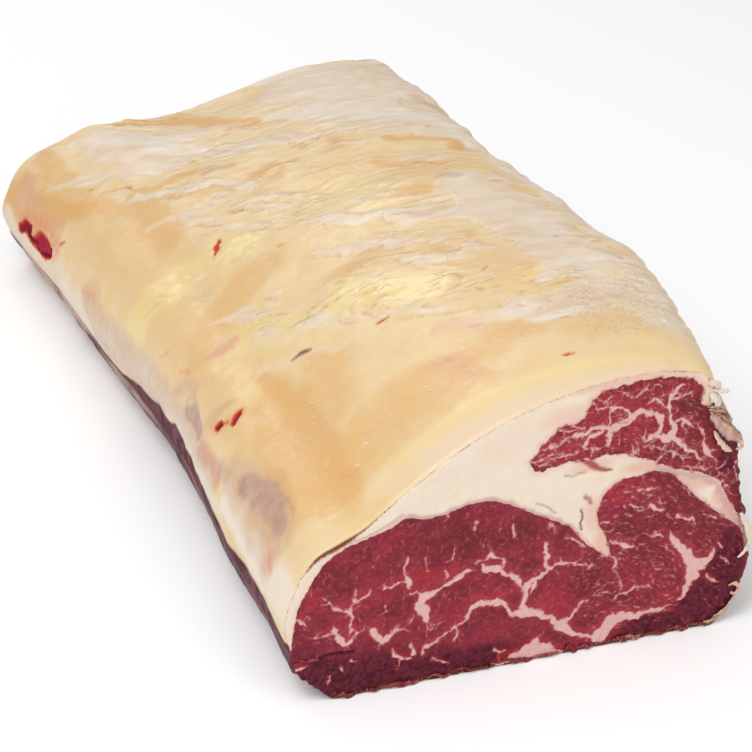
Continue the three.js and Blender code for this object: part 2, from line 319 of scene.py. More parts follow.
# Rosy parts of the cut fat, as (x, z, reach in x, reach in z, strength)
FAT_BLUSH = [
    (30, 104, 40, 4, 0.7), (18, 92, 16, 6, 0.5), (66, 97, 8, 8, 0.4), (-5, 86, 14, 6, 0.1),
    (76, 46, 5, 6, 1.0), (72, 52, 4, 5, 0.8), (29, 40, 6, 12, 0.8), (24, 54, 5, 8, 0.6),
    (22, 73, 10, 3, 0.6), (60, 60, 12, 5, 0.8), (44, 69, 12, 3, 0.8),
]

# Spurs of lean in the cut fat: strength, then the way of each as (x, z, half-width)
FAT_SPURS = [
    (0.9, [(17.4, 77.4, 1.7), (20.4, 74.6, 1.7), (23.8, 72, 1.3), (27, 70.4, 0.9), (29.6, 70.2, 0.4)]),
    (0.7, [(19.8, 61.4, 0.9), (21.2, 60, 1.0), (22.4, 58.4, 0.7)]),
]

# Cracks in the cut fat: depth, then the way of each as (x, z)
FAT_CRACKS = [
    (1.0, [(19.4, 48.5), (18.6, 51), (19.4, 53.4), (18.8, 56.6)]),
    (0.5, [(2, 62), (6, 60), (9, 57)]),
    (0.5, [(12, 71), (15, 70.2), (20, 71)]),
    (0.4, [(-66, 59.4), (-56, 62), (-46, 67)]),
]

# Width of the browned arris at the left of the cut, over x
ARRIS_X = [-83, -79, -69, -62, -50, -46]
ARRIS_WIDTH = [0.01, 1.6, 3.0, 1.6, 0.5, 0.01]

# Shreds at the right edge of the shown cut: way as (x, d, z), half width, how far it curls, tones
RAGS = [
    ([(64, 0.2, 97.2), (67.2, -0.6, 96.4), (69.2, -0.2, 94.8)], 1.5, 0.7, {"cut": 1.0, "blush": 0.6}),
    ([(66, 0.2, 94.4), (69.4, -0.6, 93.4), (72.6, -0.2, 92.8)], 1.0, 0.9, {"cut": 1.0, "grey": 0.1}),
    ([(65.4, 0, 93), (67.4, -0.7, 90.6), (69.2, -0.4, 88)], 2.2, 0.8, {"cut": 1.0}),
    ([(64.4, -0.2, 88), (67.6, -0.8, 87.6), (70.4, -0.4, 86.6)], 0.8, 0.9, {"brown": 1.0}),
    ([(65, -0.2, 86.8), (68.4, -0.9, 86.2), (71.6, -0.4, 85)], 0.8, 1.0,
     {"cut": 0.5, "grey": 0.7, "brown": 0.8}),
    ([(65.4, -0.2, 85.6), (69, -0.9, 84.4), (72.4, -0.4, 82.2)], 0.9, 1.0,
     {"cut": 0.5, "brown": 1.0, "blush": 0.5}),
    ([(66, -0.2, 85), (68.6, -0.8, 81.6), (72, -1.2, 78.2), (75.4, -1, 75.4), (78.4, -0.2, 73)], 3.4, 1.25,
     {"cut": 0.9, "blush": 1.0, "grey": 0.6, "brown": 0.45}),
    ([(69.8, -1.4, 84), (73, -1.9, 80.4), (76, -1.6, 77), (78.2, -0.8, 74.4)], 0.8, 0.8,
     {"cut": 0.5, "brown": 0.9, "blood": 0.5}),
    ([(67.6, -0.2, 78.4), (69.4, -0.9, 74.8), (71.8, -1.2, 71.6), (74.8, -0.4, 69.4)], 1.7, 1.3,
     {"cut": 0.9, "blush": 1.0, "blood": 0.2}),
    ([(75.6, -0.9, 74.2), (77.6, -1.3, 73), (78, -1.2, 70.8), (76.4, -0.6, 69.8)], 1.3, 1.3,
     {"cut": 0.8, "blush": 1.0, "blood": 0.4}),
    ([(80.2, -0.2, 44), (82.6, -0.8, 38.6), (84.4, -0.9, 33), (83.6, -0.4, 28)], 2.2, 1.0,
     {"cut": 1.0, "grey": 0.15}),
    ([(84, -0.6, 31), (82.2, -1, 28), (80.2, -0.5, 25.8)], 1.2, 0.9, {"cut": 1.0}),
    ([(77.4, -0.3, 14.8), (79.4, -1, 15.6), (81.4, -1, 13.6), (80.4, -0.9, 11.4), (78.2, -0.4, 11.8)],
     1.1, 1.2, {"cut": 0.6, "blush": 1.0, "blood": 0.5}),
    ([(72, -0.2, 2.6), (75.4, -0.8, 4.6), (78.6, -0.8, 8), (80.6, -0.1, 11)], 1.3, 0.7,
     {"cut": 0.8, "grey": 0.6, "blush": 0.5, "brown": 0.4}),
    ([(66.5, -0.2, 0.9), (71, -0.8, 1.8), (76.6, -0.3, 4.8)], 0.9, 0.7,
     {"cut": 0.6, "blush": 0.8, "brown": 0.8}),
]

# Shreds of crust along the bottom edge of the shown cut: how many, and from where to where in x
CRUST_COUNT = 17
CRUST_FROM = -72
CRUST_TO = 70

# All shreds: the side they turn outwards as (x, d, z), their thickness, and points along and across
RAG_FACING = (0.5, -0.85, 0.1)
RAG_THICKNESS = 0.5
RAG_STEPS = 30
RAG_SIDE_POINTS = 8

# Tones of the fat's outside: strength, then the way of a stroke as (s, d, half-width)
TAN = [
    (0.85, [(58, 18, 10), (61, 50, 12), (60, 80, 10), (57, 108, 8)]),
    (0.7, [(44, 26, 11), (50, 60, 11), (50, 96, 10)]),
    (0.6, [(60, 34, 12), (95, 36, 15), (140, 42, 9)]),
    (0.6, [(70, 64, 14), (80, 88, 12)]),
    (0.4, [(72, 24, 6), (94, 22, 6), (120, 25, 6)]),
    (0.6, [(40, 152, 10), (55, 172, 14), (90, 180, 9)]),
    (0.7, [(138, 116, 6), (150, 124, 6)]),
    (1.0, [(24, 398, 12), (28, 360, 13), (34, 335, 12), (46, 318, 9)]),
    (0.7, [(47, 390, 5), (46, 350, 6), (52, 310, 7), (60, 280, 9), (63, 250, 10)]),
    (1.0, [(88, 394, 4), (104, 392, 5), (114, 386, 8), (120, 368, 7), (124, 352, 6), (134, 338, 4),
           (142, 324, 2)]),
    (0.8, [(56, 326, 1.5), (70, 306, 2), (84, 297, 2.5), (102, 296, 2.5)]),
    (0.9, [(158, 254, 2.5), (168, 247, 3), (178, 243, 3.5), (183, 236, 4), (178, 225, 3)]),
    (0.9, [(146, 274, 3), (147, 266, 4), (143, 258, 3)]),
    (1.0, [(116, 266, 7), (126, 264, 6), (122, 250, 5)]),
    (0.8, [(62, 306, 2), (78, 300, 3), (96, 297, 3)]),
    (0.6, [(72, 288, 4), (90, 270, 5), (100, 262, 4)]),
    (0.7, [(60, 296, 8), (66, 272, 10), (62, 246, 9)]),
    (0.7, [(108, 138, 9), (122, 142, 8)]),
    (0.8, [(150, 228, 4), (160, 216, 5), (166, 206, 4)]),
    (0.7, [(140, 186, 5), (152, 178, 6)]),
    (0.3, [(140, 236, 14), (165, 205, 14), (176, 165, 12)]),
    (0.25, [(120, 140, 12), (150, 96, 12), (176, 60, 10), (190, 30, 8)]),
    (0.15, [(158, 32, 7), (174, 40, 12), (188, 26, 9)]),
    (0.35, [(46, 300, 20), (50, 230, 22), (46, 150, 20), (50, 60, 18)]),
    (0.7, [(112, 252, 3), (111, 242, 3), (118, 232, 3)]),
    (0.7, [(132, 305, 3), (136, 290, 4), (138, 278, 3)]),
    (0.5, [(148, 372, 4), (150, 388, 4)]),
    (0.5, [(166, 384, 2), (168, 392, 3)]),
]
YELLOW = [
    (0.7, [(30, 212, 10), (60, 214, 14), (90, 206, 8)]),
    (0.6, [(62, 150, 8), (72, 128, 10), (90, 112, 10)]),
    (0.8, [(102, 122, 10), (118, 104, 12), (132, 90, 8)]),
    (0.5, [(135, 175, 10), (140, 200, 12), (132, 225, 10)]),
    (0.4, [(48, 100, 5), (50, 140, 7)]),
    (0.5, [(158, 76, 5), (178, 70, 5)]),
    (0.4, [(120, 255, 10), (135, 250, 8)]),
]
PALE = [
    (1.0, [(184, 394, 8), (188, 350, 7), (190, 310, 7)]),
    (1.0, [(66, 385, 9), (82, 360, 20), (92, 325, 16)]),
    (0.8, [(160, 390, 14), (160, 340, 18), (165, 290, 16)]),
    (0.5, [(165, 290, 16), (172, 262, 8)]),
    (1.0, [(190, 396, 8), (186, 340, 7), (188, 290, 8), (190, 230, 6)]),
    (1.0, [(64, 302, 3), (76, 288, 4), (92, 279, 4), (106, 266, 3), (112, 250, 3)]),
    (0.9, [(100, 236, 3), (106, 226, 3), (116, 216, 2)]),
    (0.8, [(84, 262, 2), (98, 250, 2)]),
    (0.9, [(100, 330, 10), (130, 302, 8), (142, 284, 5)]),
    (0.7, [(62, 268, 3), (85, 255, 3), (105, 243, 3), (120, 226, 3)]),
    (0.8, [(110, 190, 3), (130, 172, 4), (148, 158, 6), (160, 140, 8)]),
    (0.8, [(104, 166, 3), (122, 150, 5), (138, 132, 5), (150, 112, 4)]),
    (0.9, [(168, 180, 12), (170, 120, 14), (170, 80, 12)]),
    (0.7, [(130, 62, 5), (146, 54, 6), (156, 46, 5)]),
    (0.8, [(146, 62, 5), (158, 55, 7), (170, 52, 7)]),
    (0.7, [(62, 138, 2.5), (80, 118, 3), (95, 102, 3), (112, 86, 3), (126, 70, 3)]),
    (0.7, [(60, 118, 2), (74, 104, 2), (92, 92, 2)]),
    (1.0, [(8, 390, 8), (10, 300, 10), (10, 240, 8)]),
    (1.0, [(17, 236, 5), (18, 160, 5), (19, 96, 5)]),
    (1.0, [(22, 74, 5), (21, 40, 7), (20, 8, 10)]),
    (0.8, [(192, 200, 6), (190, 20, 8)]),
]
WHITE = [
    (0.45, [(164, 398, 18), (172, 350, 16), (180, 312, 12)]),
    (0.6, [(146, 330, 9), (166, 300, 9), (180, 280, 8)]),
    (0.4, [(168, 190, 8), (171, 150, 8), (172, 104, 9)]),
    (0.5, [(72, 384, 8), (88, 366, 12), (98, 340, 9)]),
    (0.6, [(6, 310, 7), (8, 240, 7), (13, 170, 6), (14, 130, 6), (12, 96, 6), (13, 76, 5)]),
    (0.8, [(16, 76, 5), (17, 46, 5), (16, 24, 5)]),
    (0.65, [(19, 16, 6), (19, 8, 8), (20, 2, 9)]),
    (0.85, [(178, 272, 6), (187, 261, 7)]),
    (0.5, [(126, 58, 4), (144, 52, 5), (160, 46, 5)]),
    (0.6, [(172, 78, 10), (182, 56, 13), (184, 28, 10)]),
    (0.5, [(176, 250, 8), (190, 240, 8), (192, 150, 8)]),
]
GREY = [
    (1.1, [(24, 140, 3.5), (26, 130, 5), (25, 120, 4)]),
    (1.0, [(31, 66, 5), (34, 52, 7), (36, 38, 7), (33, 30, 4)]),
    (0.4, [(8, 260, 6), (11, 207, 7), (14, 165, 5)]),
    (0.4, [(29, 74, 9), (33, 46, 13), (32, 26, 10)]),
    (0.5, [(27, 86, 5), (29, 70, 5)]),
    (0.4, [(17, 270, 6), (18, 200, 6), (19, 140, 6), (20, 90, 5)]),
    (0.4, [(23, 158, 4), (29, 150, 4), (32, 138, 3)]),
    (0.35, [(24, 116, 4), (36, 112, 3), (44, 108, 2)]),
    (0.35, [(20, 44, 4), (22, 24, 4)]),
    (0.6, [(98, 291, 3), (110, 289, 3.4)]),
    (0.5, [(162, 190, 3), (166, 187, 3)]),
    (0.5, [(185, 314, 3), (192, 300, 3)]),
]
ROSY = [
    (1.0, [(23, 108, 5), (24, 98, 5), (25, 86, 5)]),
    (0.7, [(32, 384, 7), (33, 374, 8), (30, 362, 6)]),
    (0.9, [(47, 147, 4), (54, 146, 4.5)]),
    (0.5, [(20, 276, 4), (24, 260, 4)]),
    (0.5, [(26, 374, 6), (27, 346, 6), (25, 324, 6)]),
    (0.5, [(34, 46, 4), (33, 36, 4)]),
    (0.45, [(112, 47, 5), (117, 36, 7), (118, 28, 5)]),
    (0.35, [(120, 64, 4), (131, 54, 5)]),
    (0.4, [(20, 24, 5), (25, 26, 6), (29, 40, 4)]),
]

# Smooth sheets without folds, and places where the fat swells into soft pillows, in the same way
CALM = [
    (1.0, [(62, 392, 10), (82, 365, 22), (88, 332, 20), (84, 316, 12)]),
    (0.9, [(160, 392, 18), (160, 345, 18), (168, 300, 12)]),
    (0.9, [(62, 285, 10), (66, 255, 12), (60, 238, 10)]),
    (0.9, [(55, 172, 14), (85, 180, 14), (105, 150, 8)]),
    (0.8, [(170, 190, 9), (171, 150, 8), (172, 95, 9)]),
    (0.7, [(120, 240, 7), (118, 256, 7)]),
]
PUFFY = [
    (1.0, [(72, 142, 9), (95, 118, 14), (118, 98, 15), (140, 84, 12), (165, 66, 11)]),
    (0.9, [(150, 202, 13), (144, 174, 14), (150, 150, 9)]),
    (0.8, [(100, 206, 8), (122, 216, 12), (130, 240, 13), (124, 262, 12), (142, 272, 9)]),
    (0.6, [(182, 120, 9), (180, 64, 11), (184, 34, 8)]),
    (0.6, [(36, 212, 8), (62, 212, 9), (92, 208, 8)]),
]

# Hollows at the left foot, and painted shade lines along the folds at their rims, in the same way
HOLLOWS = [
    (1.0, [(31, 66, 5), (34, 52, 8), (36, 38, 8), (34, 30, 5)]),
    (0.6, [(24, 140, 4), (26, 130, 5), (25, 120, 4)]),
]
FOLD_SHADE_LINES = [
    (0.9, [(34, 64, 0.9), (39.5, 47, 1.1), (42.5, 34, 1.2), (40.5, 27, 1.1), (36, 24.5, 1.0), (29, 26, 0.9)]),
    (0.7, [(22, 147, 0.9), (29, 140, 1.0), (31, 129, 1.0), (28, 117, 0.9)]),
    (0.5, [(44, 101, 0.8), (50, 108, 0.9), (54, 120, 0.8)]),
]

# Blood in the fat, and small brown spots, in the same way
BLOOD = [
    (1.25, [(32.4, 106.4, 1.2), (33.6, 105, 2.2), (35, 103, 1.4)]),
    (1.1, [(39.5, 96.5, 1.6), (41.5, 98, 2.4), (44, 100.5, 1.3)]),
    (0.7, [(35, 102.5, 1.1), (38, 100, 1.1)]),
    (0.35, [(31, 108, 3), (34, 103, 4), (40, 99, 4), (44, 101, 3)]),
    (1.2, [(14, 369, 3), (17.5, 363, 4.2), (18, 356, 3.4)]),
    (1.35, [(16, 358, 1.8), (14.6, 352, 1.8), (15, 346, 2.2)]),
    (1.05, [(15, 349, 3.4), (17.4, 342, 6), (17.6, 333, 6.2), (17, 326, 3.6)]),
    (1.4, [(13, 344, 1.1), (13.4, 336, 1.3), (15.6, 328, 1.4), (19, 325, 1.1), (20.6, 331, 1)]),
    (0.4, [(18, 372, 7), (21, 356, 9), (23, 338, 9), (21, 320, 7)]),
    (0.8, [(73.4, 212.5, 1.5), (76, 216, 2), (79.5, 221, 0.8)]),
    (0.25, [(73, 212, 3.5), (76, 216, 4.5), (79.5, 221, 3)]),
    (0.6, [(94, 237, 1.4), (97, 235, 1.4)]),
    (0.8, [(103, 90.5, 0.7), (106, 90, 1.3), (109, 90, 0.6)]),
    (0.75, [(145.5, 18.5, 0.6), (148, 18.8, 1.1), (151, 18.5, 0.6)]),
    (0.7, [(25, 318, 1.2), (28, 314, 1.4)]),
    (0.4, [(22, 20, 2.4), (25, 25, 3), (27, 22, 2)]),
    (0.35, [(113.6, 45, 1.4), (114.5, 42, 1.6)]),
    (0.35, [(116.5, 38, 1.3), (117.5, 36, 1.6)]),
    (0.35, [(117, 32, 1.2), (118, 30, 1.4)]),
    (0.3, [(62, 30, 2.4), (66, 26, 3)]),
    (0.5, [(98.5, 213, 0.9), (104, 207, 0.9)]),
    (0.4, [(31, 160, 1.2), (34, 152, 1.4)]),
    (0.4, [(28, 182, 1.2), (31, 178, 1.5)]),
    (0.35, [(118, 267, 2), (126, 264, 2)]),
    (0.4, [(128, 57, 1.2), (132, 55, 1.2)]),
    (0.5, [(134.4, 118, 0.9), (135.6, 117, 0.9)]),
    (0.5, [(132.6, 106.6, 0.8), (133.4, 106, 0.8)]),
    (0.3, [(19, 276, 2), (22, 262, 3)]),
]
BRUISE = [
    (0.9, [(70.5, 106.5, 0.8), (75, 105, 1.4), (79, 103, 0.7)]),
    (0.5, [(172, 107, 0.8), (173, 105.5, 0.8)]),
    (0.5, [(51.4, 333.6, 0.9), (53, 332.4, 0.9)]),
    (0.5, [(65.6, 314.6, 0.9), (67, 313.4, 0.9)]),
    (0.4, [(143.4, 90, 0.8), (145, 91.6, 0.8)]),
    (0.4, [(96, 187, 0.8), (98, 185.4, 0.8)]),
]

# Upper edge of the lean that shows under the fat at the left foot, as s over d
LEAN_STRIP_D = [0, 20, 40, 60, 80, 100, 120, 150, 180, 200, 225, 260, 400]
LEAN_STRIP_S = [6, 11, 13, 10, 8, 9, 13, 13, 11, 9, 3, -2, -4]

# Where the flaking outer layers of the fat begin, as distance from the cut over s
FLAKE_EDGE_S = [0, 55, 65, 100, 120, 150, 170, 206]
FLAKE_EDGE_D = [190, 165, 130, 95, 72, 38, 26, 14]

# Leaves of the flaking layers: how many, then the ranges of half-length and half-width
FLAP_KINDS = [(70, 14, 30, 3.0, 8.0), (300, 5, 13, 1.2, 3.2)]

# Where the leaves may lie, how high they stand, how pale they are and how often
FLAP_S = (44, 202)
FLAP_D = (16, 398)
FLAP_HEIGHT = (0.15, 0.75)
FLAP_SHADES = [0.95, 0.6, 0.25]
FLAP_SHADE_SHARES = [0.4, 0.3, 0.3]

# Values that the materials read at the points of the fat and of the lean
FAT_VALUES = [
    "cut", "tan", "yellow", "stripe", "pale", "white", "sheet", "relief_shading", "across", "along", "grey",
    "blush", "blood", "lean", "brown", "flesh", "calm", "grit", "scratched", "folded", "wet",
]
LEAN_VALUES = ["vein", "glow", "rich", "dry", "skin", "leather", "crust", "mottled"]

# Floor under the loin: width in metres, gap in millimetres, looks, and the light from all around
FLOOR_SIZE = 6
FLOOR_GAP = 0.2
FLOOR_TONE = (0.93, 0.93, 0.93, 1)
FLOOR_ROUGHNESS = 0.9
FLOOR_GLOW = 0.1
WHITE_LIGHT = (1, 1, 1, 1)
WORLD_LIGHT = 0.54

# Lamps by name: place in metres, power in watts and width in metres; all face one target
LAMPS = {
    "key": ((-0.65, -0.6, 1.2), 11, 0.8),
    "fill": ((0.5, -1.3, 0.6), 3.6, 0.9),
    "back": ((-0.1, 1.2, 0.95), 3.4, 0.6),
}
LAMP_TARGET = (0, 0, 0.05)

# Camera of the photo: angles in degrees, target and distance in metres, then the lens
CAMERA_AROUND = -20
CAMERA_ABOVE = 26
CAMERA_TARGET = (0.00183, -0.0365, 0.033)
CAMERA_DISTANCE = 1
SENSOR_WIDTH = 36
FOCAL_PIXELS = 2500
PHOTO_PIXELS = 752


def catmull_rom(values, share):
    """Values or points along a Catmull-Rom curve through the given ones."""
    given = np.asarray(values, float)
    last = len(given) - 1
    place_on = np.clip(share, 0, 1) * last
    first = np.minimum(np.floor(place_on).astype(int), last - 1)
    t = place_on - first
    if given.ndim == 2:
        t = t[..., None]
    a, b, c, d = (given[np.clip(first + k, 0, last)] for k in (-1, 0, 1, 2))
    return 0.5 * (2 * b + (c - a) * t + (2 * a - 5 * b + 4 * c - d) * t**2 + (3 * b - a - 3 * c + d) * t**3)


def smooth(low, high, value):
    """0 below low, 1 above high, and a soft step between; low may be the higher one."""
    t = np.clip((value - low) / (high - low), 0, 1)
    return t * t * (3 - 2 * t)


def noise(x, y, seed):
    """Gradient noise from about -1 to 1, with a feature for each unit."""
    column = np.floor(x).astype(np.int64)
    row = np.floor(y).astype(np.int64)
    fx = x - column
    fy = y - row

    def corner(dx, dy):
        key = ((column + dx) * HASH_COLUMN + (row + dy) * HASH_ROW + seed * HASH_SEED) & HASH_MASK
        key = ((key ^ (key >> 13)) * HASH_MIX) & HASH_MASK
        angle = ((key ^ (key >> 16)) & HASH_MASK) * (2 * math.pi / 2**32)
        return np.cos(angle) * (fx - dx) + np.sin(angle) * (fy - dy)

    wx = fx**3 * (fx * (fx * 6 - 15) + 10)
    wy = fy**3 * (fy * (fy * 6 - 15) + 10)
    low = corner(0, 0) * (1 - wx) + corner(1, 0) * wx
    high = corner(0, 1) * (1 - wx) + corner(1, 1) * wx
    return NOISE_GAIN * (low * (1 - wy) + high * wy)


def layered_noise(x, y, seed, layers):
    """Noise with finer layers added, each half as strong as the one before."""
    total = np.zeros(np.broadcast(x, y).shape)
    for k in range(layers):
        total += 0.5**k * noise(x * 2**k, y * 2**k, seed + 31 * k)
    return total


def cells(x, y, seed):
    """Round cushions from 0 at the creases between them to about 1, one for each unit square."""
    column = np.floor(x)
    row = np.floor(y)
    nearest = np.full(np.broadcast(x, y).shape, 9.0)
    second = nearest.copy()
    for dx in (-1, 0, 1):
        for dy in (-1, 0, 1):
            middle_x = column + dx + 0.5 + 0.9 * noise(column + dx + 0.37, row + dy + 0.61, seed)
            middle_y = row + dy + 0.5 + 0.9 * noise(column + dx + 0.43, row + dy + 0.29, seed + 1)
            away = np.hypot(x - middle_x, y - middle_y)
            second = np.minimum(second, np.maximum(nearest, away))
            nearest = np.minimum(nearest, away)
    return smooth(-0.1, 0.8, second - nearest) * (1 - 0.5 * np.minimum(nearest, 1) ** 2)


def patches(x, y, spots):
    """The strongest of soft oval patches at each point."""
    best = np.zeros(np.broadcast(x, y).shape)
    for px, py, rx, ry, strength in spots:
        away = np.sqrt(((x - px) / rx) ** 2 + ((y - py) / ry) ** 2)
        best = np.maximum(best, strength * smooth(1.25, 0.45, away))
    return best


def blurred(grid, reach):
    """A grid averaged over a square reach of points."""
    kernel = np.ones(2 * reach + 1) / (2 * reach + 1)
    wide = np.pad(grid, reach, mode="edge")
    rows = np.apply_along_axis(np.convolve, 0, wide, kernel, "valid")
    return np.apply_along_axis(np.convolve, 1, rows, kernel, "valid")


def strokes(x, y, given):
    """The strongest of soft-edged strokes at each point."""
    best = np.zeros(np.broadcast(x, y).shape)
    for strength, way in given:
        path = catmull_rom(way, np.linspace(0, 1, 3 * len(way)))
        away = np.full(best.shape, np.inf)
        for (ax, ay, wide_a), (bx, by, wide_b) in zip(path[:-1], path[1:]):
            reach = (bx - ax) ** 2 + (by - ay) ** 2
            t = np.clip(((x - ax) * (bx - ax) + (y - ay) * (by - ay)) / reach, 0, 1)
            off = np.hypot(x - ax - t * (bx - ax), y - ay - t * (by - ay))
            away = np.minimum(away, off / (wide_a + (wide_b - wide_a) * t))
        best = np.maximum(best, strength * smooth(1.3, 0.4, away))
    return best


def place(x, z, share):
    """Where a section point comes to lie at a share of the length, as in the part's source."""
    up = z / HEIGHT
    side = x / HALF_WIDTH
    left = np.maximum(-side, 0)
    right = np.maximum(side, 0)
    distance = share * LENGTH
    drawn = EDGE_DRAW * (1 - np.exp(-distance / EDGE_DRAW_REACH))
    swell = sum(rise * share**2 * np.exp(-(((x - at) / reach) ** 2)) for rise, at, reach in FAR_SWELLS)
    grown = np.minimum(share / WAVE_GROWTH, 1)
    wave = sum(
        height * grown * np.sin(2 * math.pi * (distance + slant * x) / length)
        for height, length, slant in FAT_WAVES
    )
    spread = UNDERSIDE_SPREAD + (1 - UNDERSIDE_SPREAD) * up
    return np.stack([
        x + catmull_rom(RIGHT_SPREAD, share) * right * spread
        + catmull_rom(LEFT_SPREAD, share) * left + drawn * right * up,
        distance + share * (FAR_END_SKEW * side + FAR_END_BOW * side**2),
        z * catmull_rom(HEIGHT_RATIO, share) + swell * up + (drawn + wave) * up**2,
    ], -1)


def line(points, spacing):
    """Evenly spaced points on the curve through a section line, with its bends eased."""
    fine = catmull_rom(points, np.linspace(0, 1, LINE_PIECES * len(points)))
    fine[:, 1] = np.maximum(fine[:, 1], 0)
    run = run_of(fine)
    at = np.linspace(0, run[-1], round(run[-1] / spacing) + 1)
    even = np.stack([np.interp(at, run, fine[:, k]) for k in (0, 1)], 1)
    for _ in range(LINE_EASINGS):
        even[1:-1] = 0.25 * even[:-2] + 0.5 * even[1:-1] + 0.25 * even[2:]
    return even


def run_of(points):
    """Length covered on a line at each of its points."""
    return np.concatenate([[0], np.cumsum(np.hypot(*np.diff(points, axis=0).T))])


def torn_line(points, height, size, seed):
    """A line made uneven to both sides, except near its ends."""
    run = run_of(points)
    ahead = np.gradient(points, axis=0)
    sideways = np.stack([-ahead[:, 1], ahead[:, 0]], 1) / np.hypot(*ahead.T)[:, None]
    fade = smooth(0, 10, run) * smooth(0, 10, run[-1] - run)
    shift = height * fade * layered_noise(points[:, 0] / size, points[:, 1] / size, seed, 3)
    return points + sideways * shift[:, None]


def stations(spacing):
    """Distances from the shown cut, closer together beside both cuts."""
    ends = np.array(END_ROWS)
    middle = np.linspace(EVEN_ROWS_FROM, LENGTH - EVEN_ROWS_FROM, round(LENGTH / spacing))
    return np.concatenate([ends, middle, LENGTH - ends[::-1]])


def skin(points, distances, relief):
    """A surface over a section line for all distances, raised by relief along its normal."""
    rows = len(distances)
    columns = len(points)
    x = np.repeat(points[None, :, 0], rows, 0)
    z = np.repeat(points[None, :, 1], rows, 0)
    share = np.repeat(distances[:, None] / LENGTH, columns, 1)
    base = place(x, z, share)
    normal = np.cross(np.gradient(base, axis=1), np.gradient(base, axis=0))
    normal[[0, -1], :, 1] = 0
    normal /= np.linalg.norm(normal, axis=-1, keepdims=True)
    return base + normal * relief[..., None]


def edge_round(distances, columns):
    """How far the arris of both cuts is rounded off, in the form of a relief."""
    from_cut = np.minimum(distances, LENGTH - distances)
    drop = -ARRIS_ROUND * np.exp(-((from_cut / ARRIS_ROUND_REACH) ** 2))
    return np.repeat(drop[:, None], columns, 1)


def grid_faces(rows, columns):
    """Quads of a grid whose points are numbered row by row."""
    at = np.arange(rows * columns).reshape(rows, columns)
    return np.stack([at[:-1, :-1], at[:-1, 1:], at[1:, 1:], at[1:, :-1]], -1).reshape(-1, 4)


def inside(points, outline):
    """Which points lie inside a closed outline."""
    hits = np.zeros(len(points), int)
    ends = np.roll(outline, -1, 0)
    for (ax, az), (bx, bz) in zip(outline, ends):
        crosses = (az > points[:, 1]) != (bz > points[:, 1])
        if az != bz:
            hits += crosses & (points[:, 0] < (bx - ax) * (points[:, 1] - az) / (bz - az) + ax)
    return hits % 2 == 1


def distance_to(points, path):
    """Distance of each point from an open path."""
    best = np.full(len(points), np.inf)
    for a, b in zip(path[:-1], path[1:]):
        along = b - a
        t = np.clip((points - a) @ along / max(along @ along, 1e-9), 0, 1)
        best = np.minimum(best, ((points - a - t[:, None] * along) ** 2).sum(1))
    return np.sqrt(best)


def face_net(outline, spacing):
    """Points and triangles that fill a closed outline, the outline's own points first."""
    low = outline.min(0)
    high = outline.max(0)
    rows = np.arange(low[1], high[1], spacing * TRIANGLE_HEIGHT)
    columns = np.arange(low[0], high[0], spacing)
    x, z = np.meshgrid(columns, rows)
    x = x + (np.arange(len(rows)) % 2)[:, None] * spacing / 2
    grid = np.stack([x.ravel(), z.ravel()], 1)
    grid = grid[inside(grid, outline)]
    to_outline = distance_to(grid, np.vstack([outline, outline[:1]]))
    grid = grid[to_outline > OUTLINE_CLEARANCE * spacing]
    points = np.vstack([outline, grid])
    ring = [(k, (k + 1) % len(outline)) for k in range(len(outline))]
    net = delaunay_2d_cdt([Vector(p) for p in points], ring, [], 0, NET_LIMIT, False)
    triangles = np.array(net[2])
    return points, triangles[inside(points[triangles].mean(1), outline)]


def strand_path(way):
    """A strand's way as many short pieces."""
    return catmull_rom(way, np.linspace(0, 1, 5 * len(way)))


def draw_strand(field, path):
    """Marks a strand of changing half-width on the raster."""
    swing = 1.05 + 0.6 * noise(path[:, 0] / 1.9, path[:, 1] / 1.9, SEED + 30)
    widths = path[:, 2] * swing
    reach = widths.max() + STRAND_MARGIN
    for start, end, ra, rb in zip(path[:-1, :2], path[1:, :2], widths[:-1], widths[1:]):
        low = np.floor((np.minimum(start, end) - reach - RASTER_LOW) / RASTER).astype(int)
        high = np.ceil((np.maximum(start, end) + reach - RASTER_LOW) / RASTER).astype(int)
        low = np.maximum(low, 0)
        x = RASTER_LOW[0] + RASTER * np.arange(low[0], min(high[0], RASTER_SIZE[1]))[None, :]
        z = RASTER_LOW[1] + RASTER * np.arange(low[1], min(high[1], RASTER_SIZE[0]))[:, None]
        along = end - start
        t = ((x - start[0]) * along[0] + (z - start[1]) * along[1]) / max(along @ along, 1e-9)
        t = np.clip(t, 0, 1)
        away = np.hypot(x - start[0] - t * along[0], z - start[1] - t * along[1])
        block = field[low[1]:low[1] + z.shape[0], low[0]:low[0] + x.shape[1]]
        np.maximum(block, ra + (rb - ra) * t - away, out=block)


def twig(draw, start, ahead, reach, width):
    """A short side branch that leaves a strand at a slant and thins out."""
    turn = ahead + draw.choice([-1, 1]) * draw.uniform(0.4, 1.2)
    steps = np.linspace(0, 1, 6)
    angles = turn + draw.uniform(-0.8, 0.8) * steps
    return np.stack([
        start[0] + np.cos(angles) * steps * reach,
        start[1] + np.sin(angles) * steps * reach,
        width * (1 - steps)], 1)


def heading(path, at):
    """Angle of a path where it comes to one of its points."""
    step = path[at] - path[at - 1]
    return math.atan2(step[1], step[0])


def marbling(strands, twigs, seed):
    """Strands with feathery side branches, as a depth raster."""
    branches, reach = twigs
    draw = np.random.default_rng(seed)
    field = np.full(RASTER_SIZE, RASTER_EMPTY)
    for way in strands:
        path = strand_path(way)
        draw_strand(field, path)
        for _ in range(draw.poisson(branches * run_of(path[:, :2])[-1])):
            at = draw.integers(1, len(path))
            length = draw.uniform(0.3, 1) * reach
            width = draw.uniform(0.2, 0.5)
            side = twig(draw, path[at], heading(path, at), length, width)
            draw_strand(field, side)
            draw_strand(field, twig(draw, side[3], heading(side, 5), 0.4 * reach, 0.15))
    return field


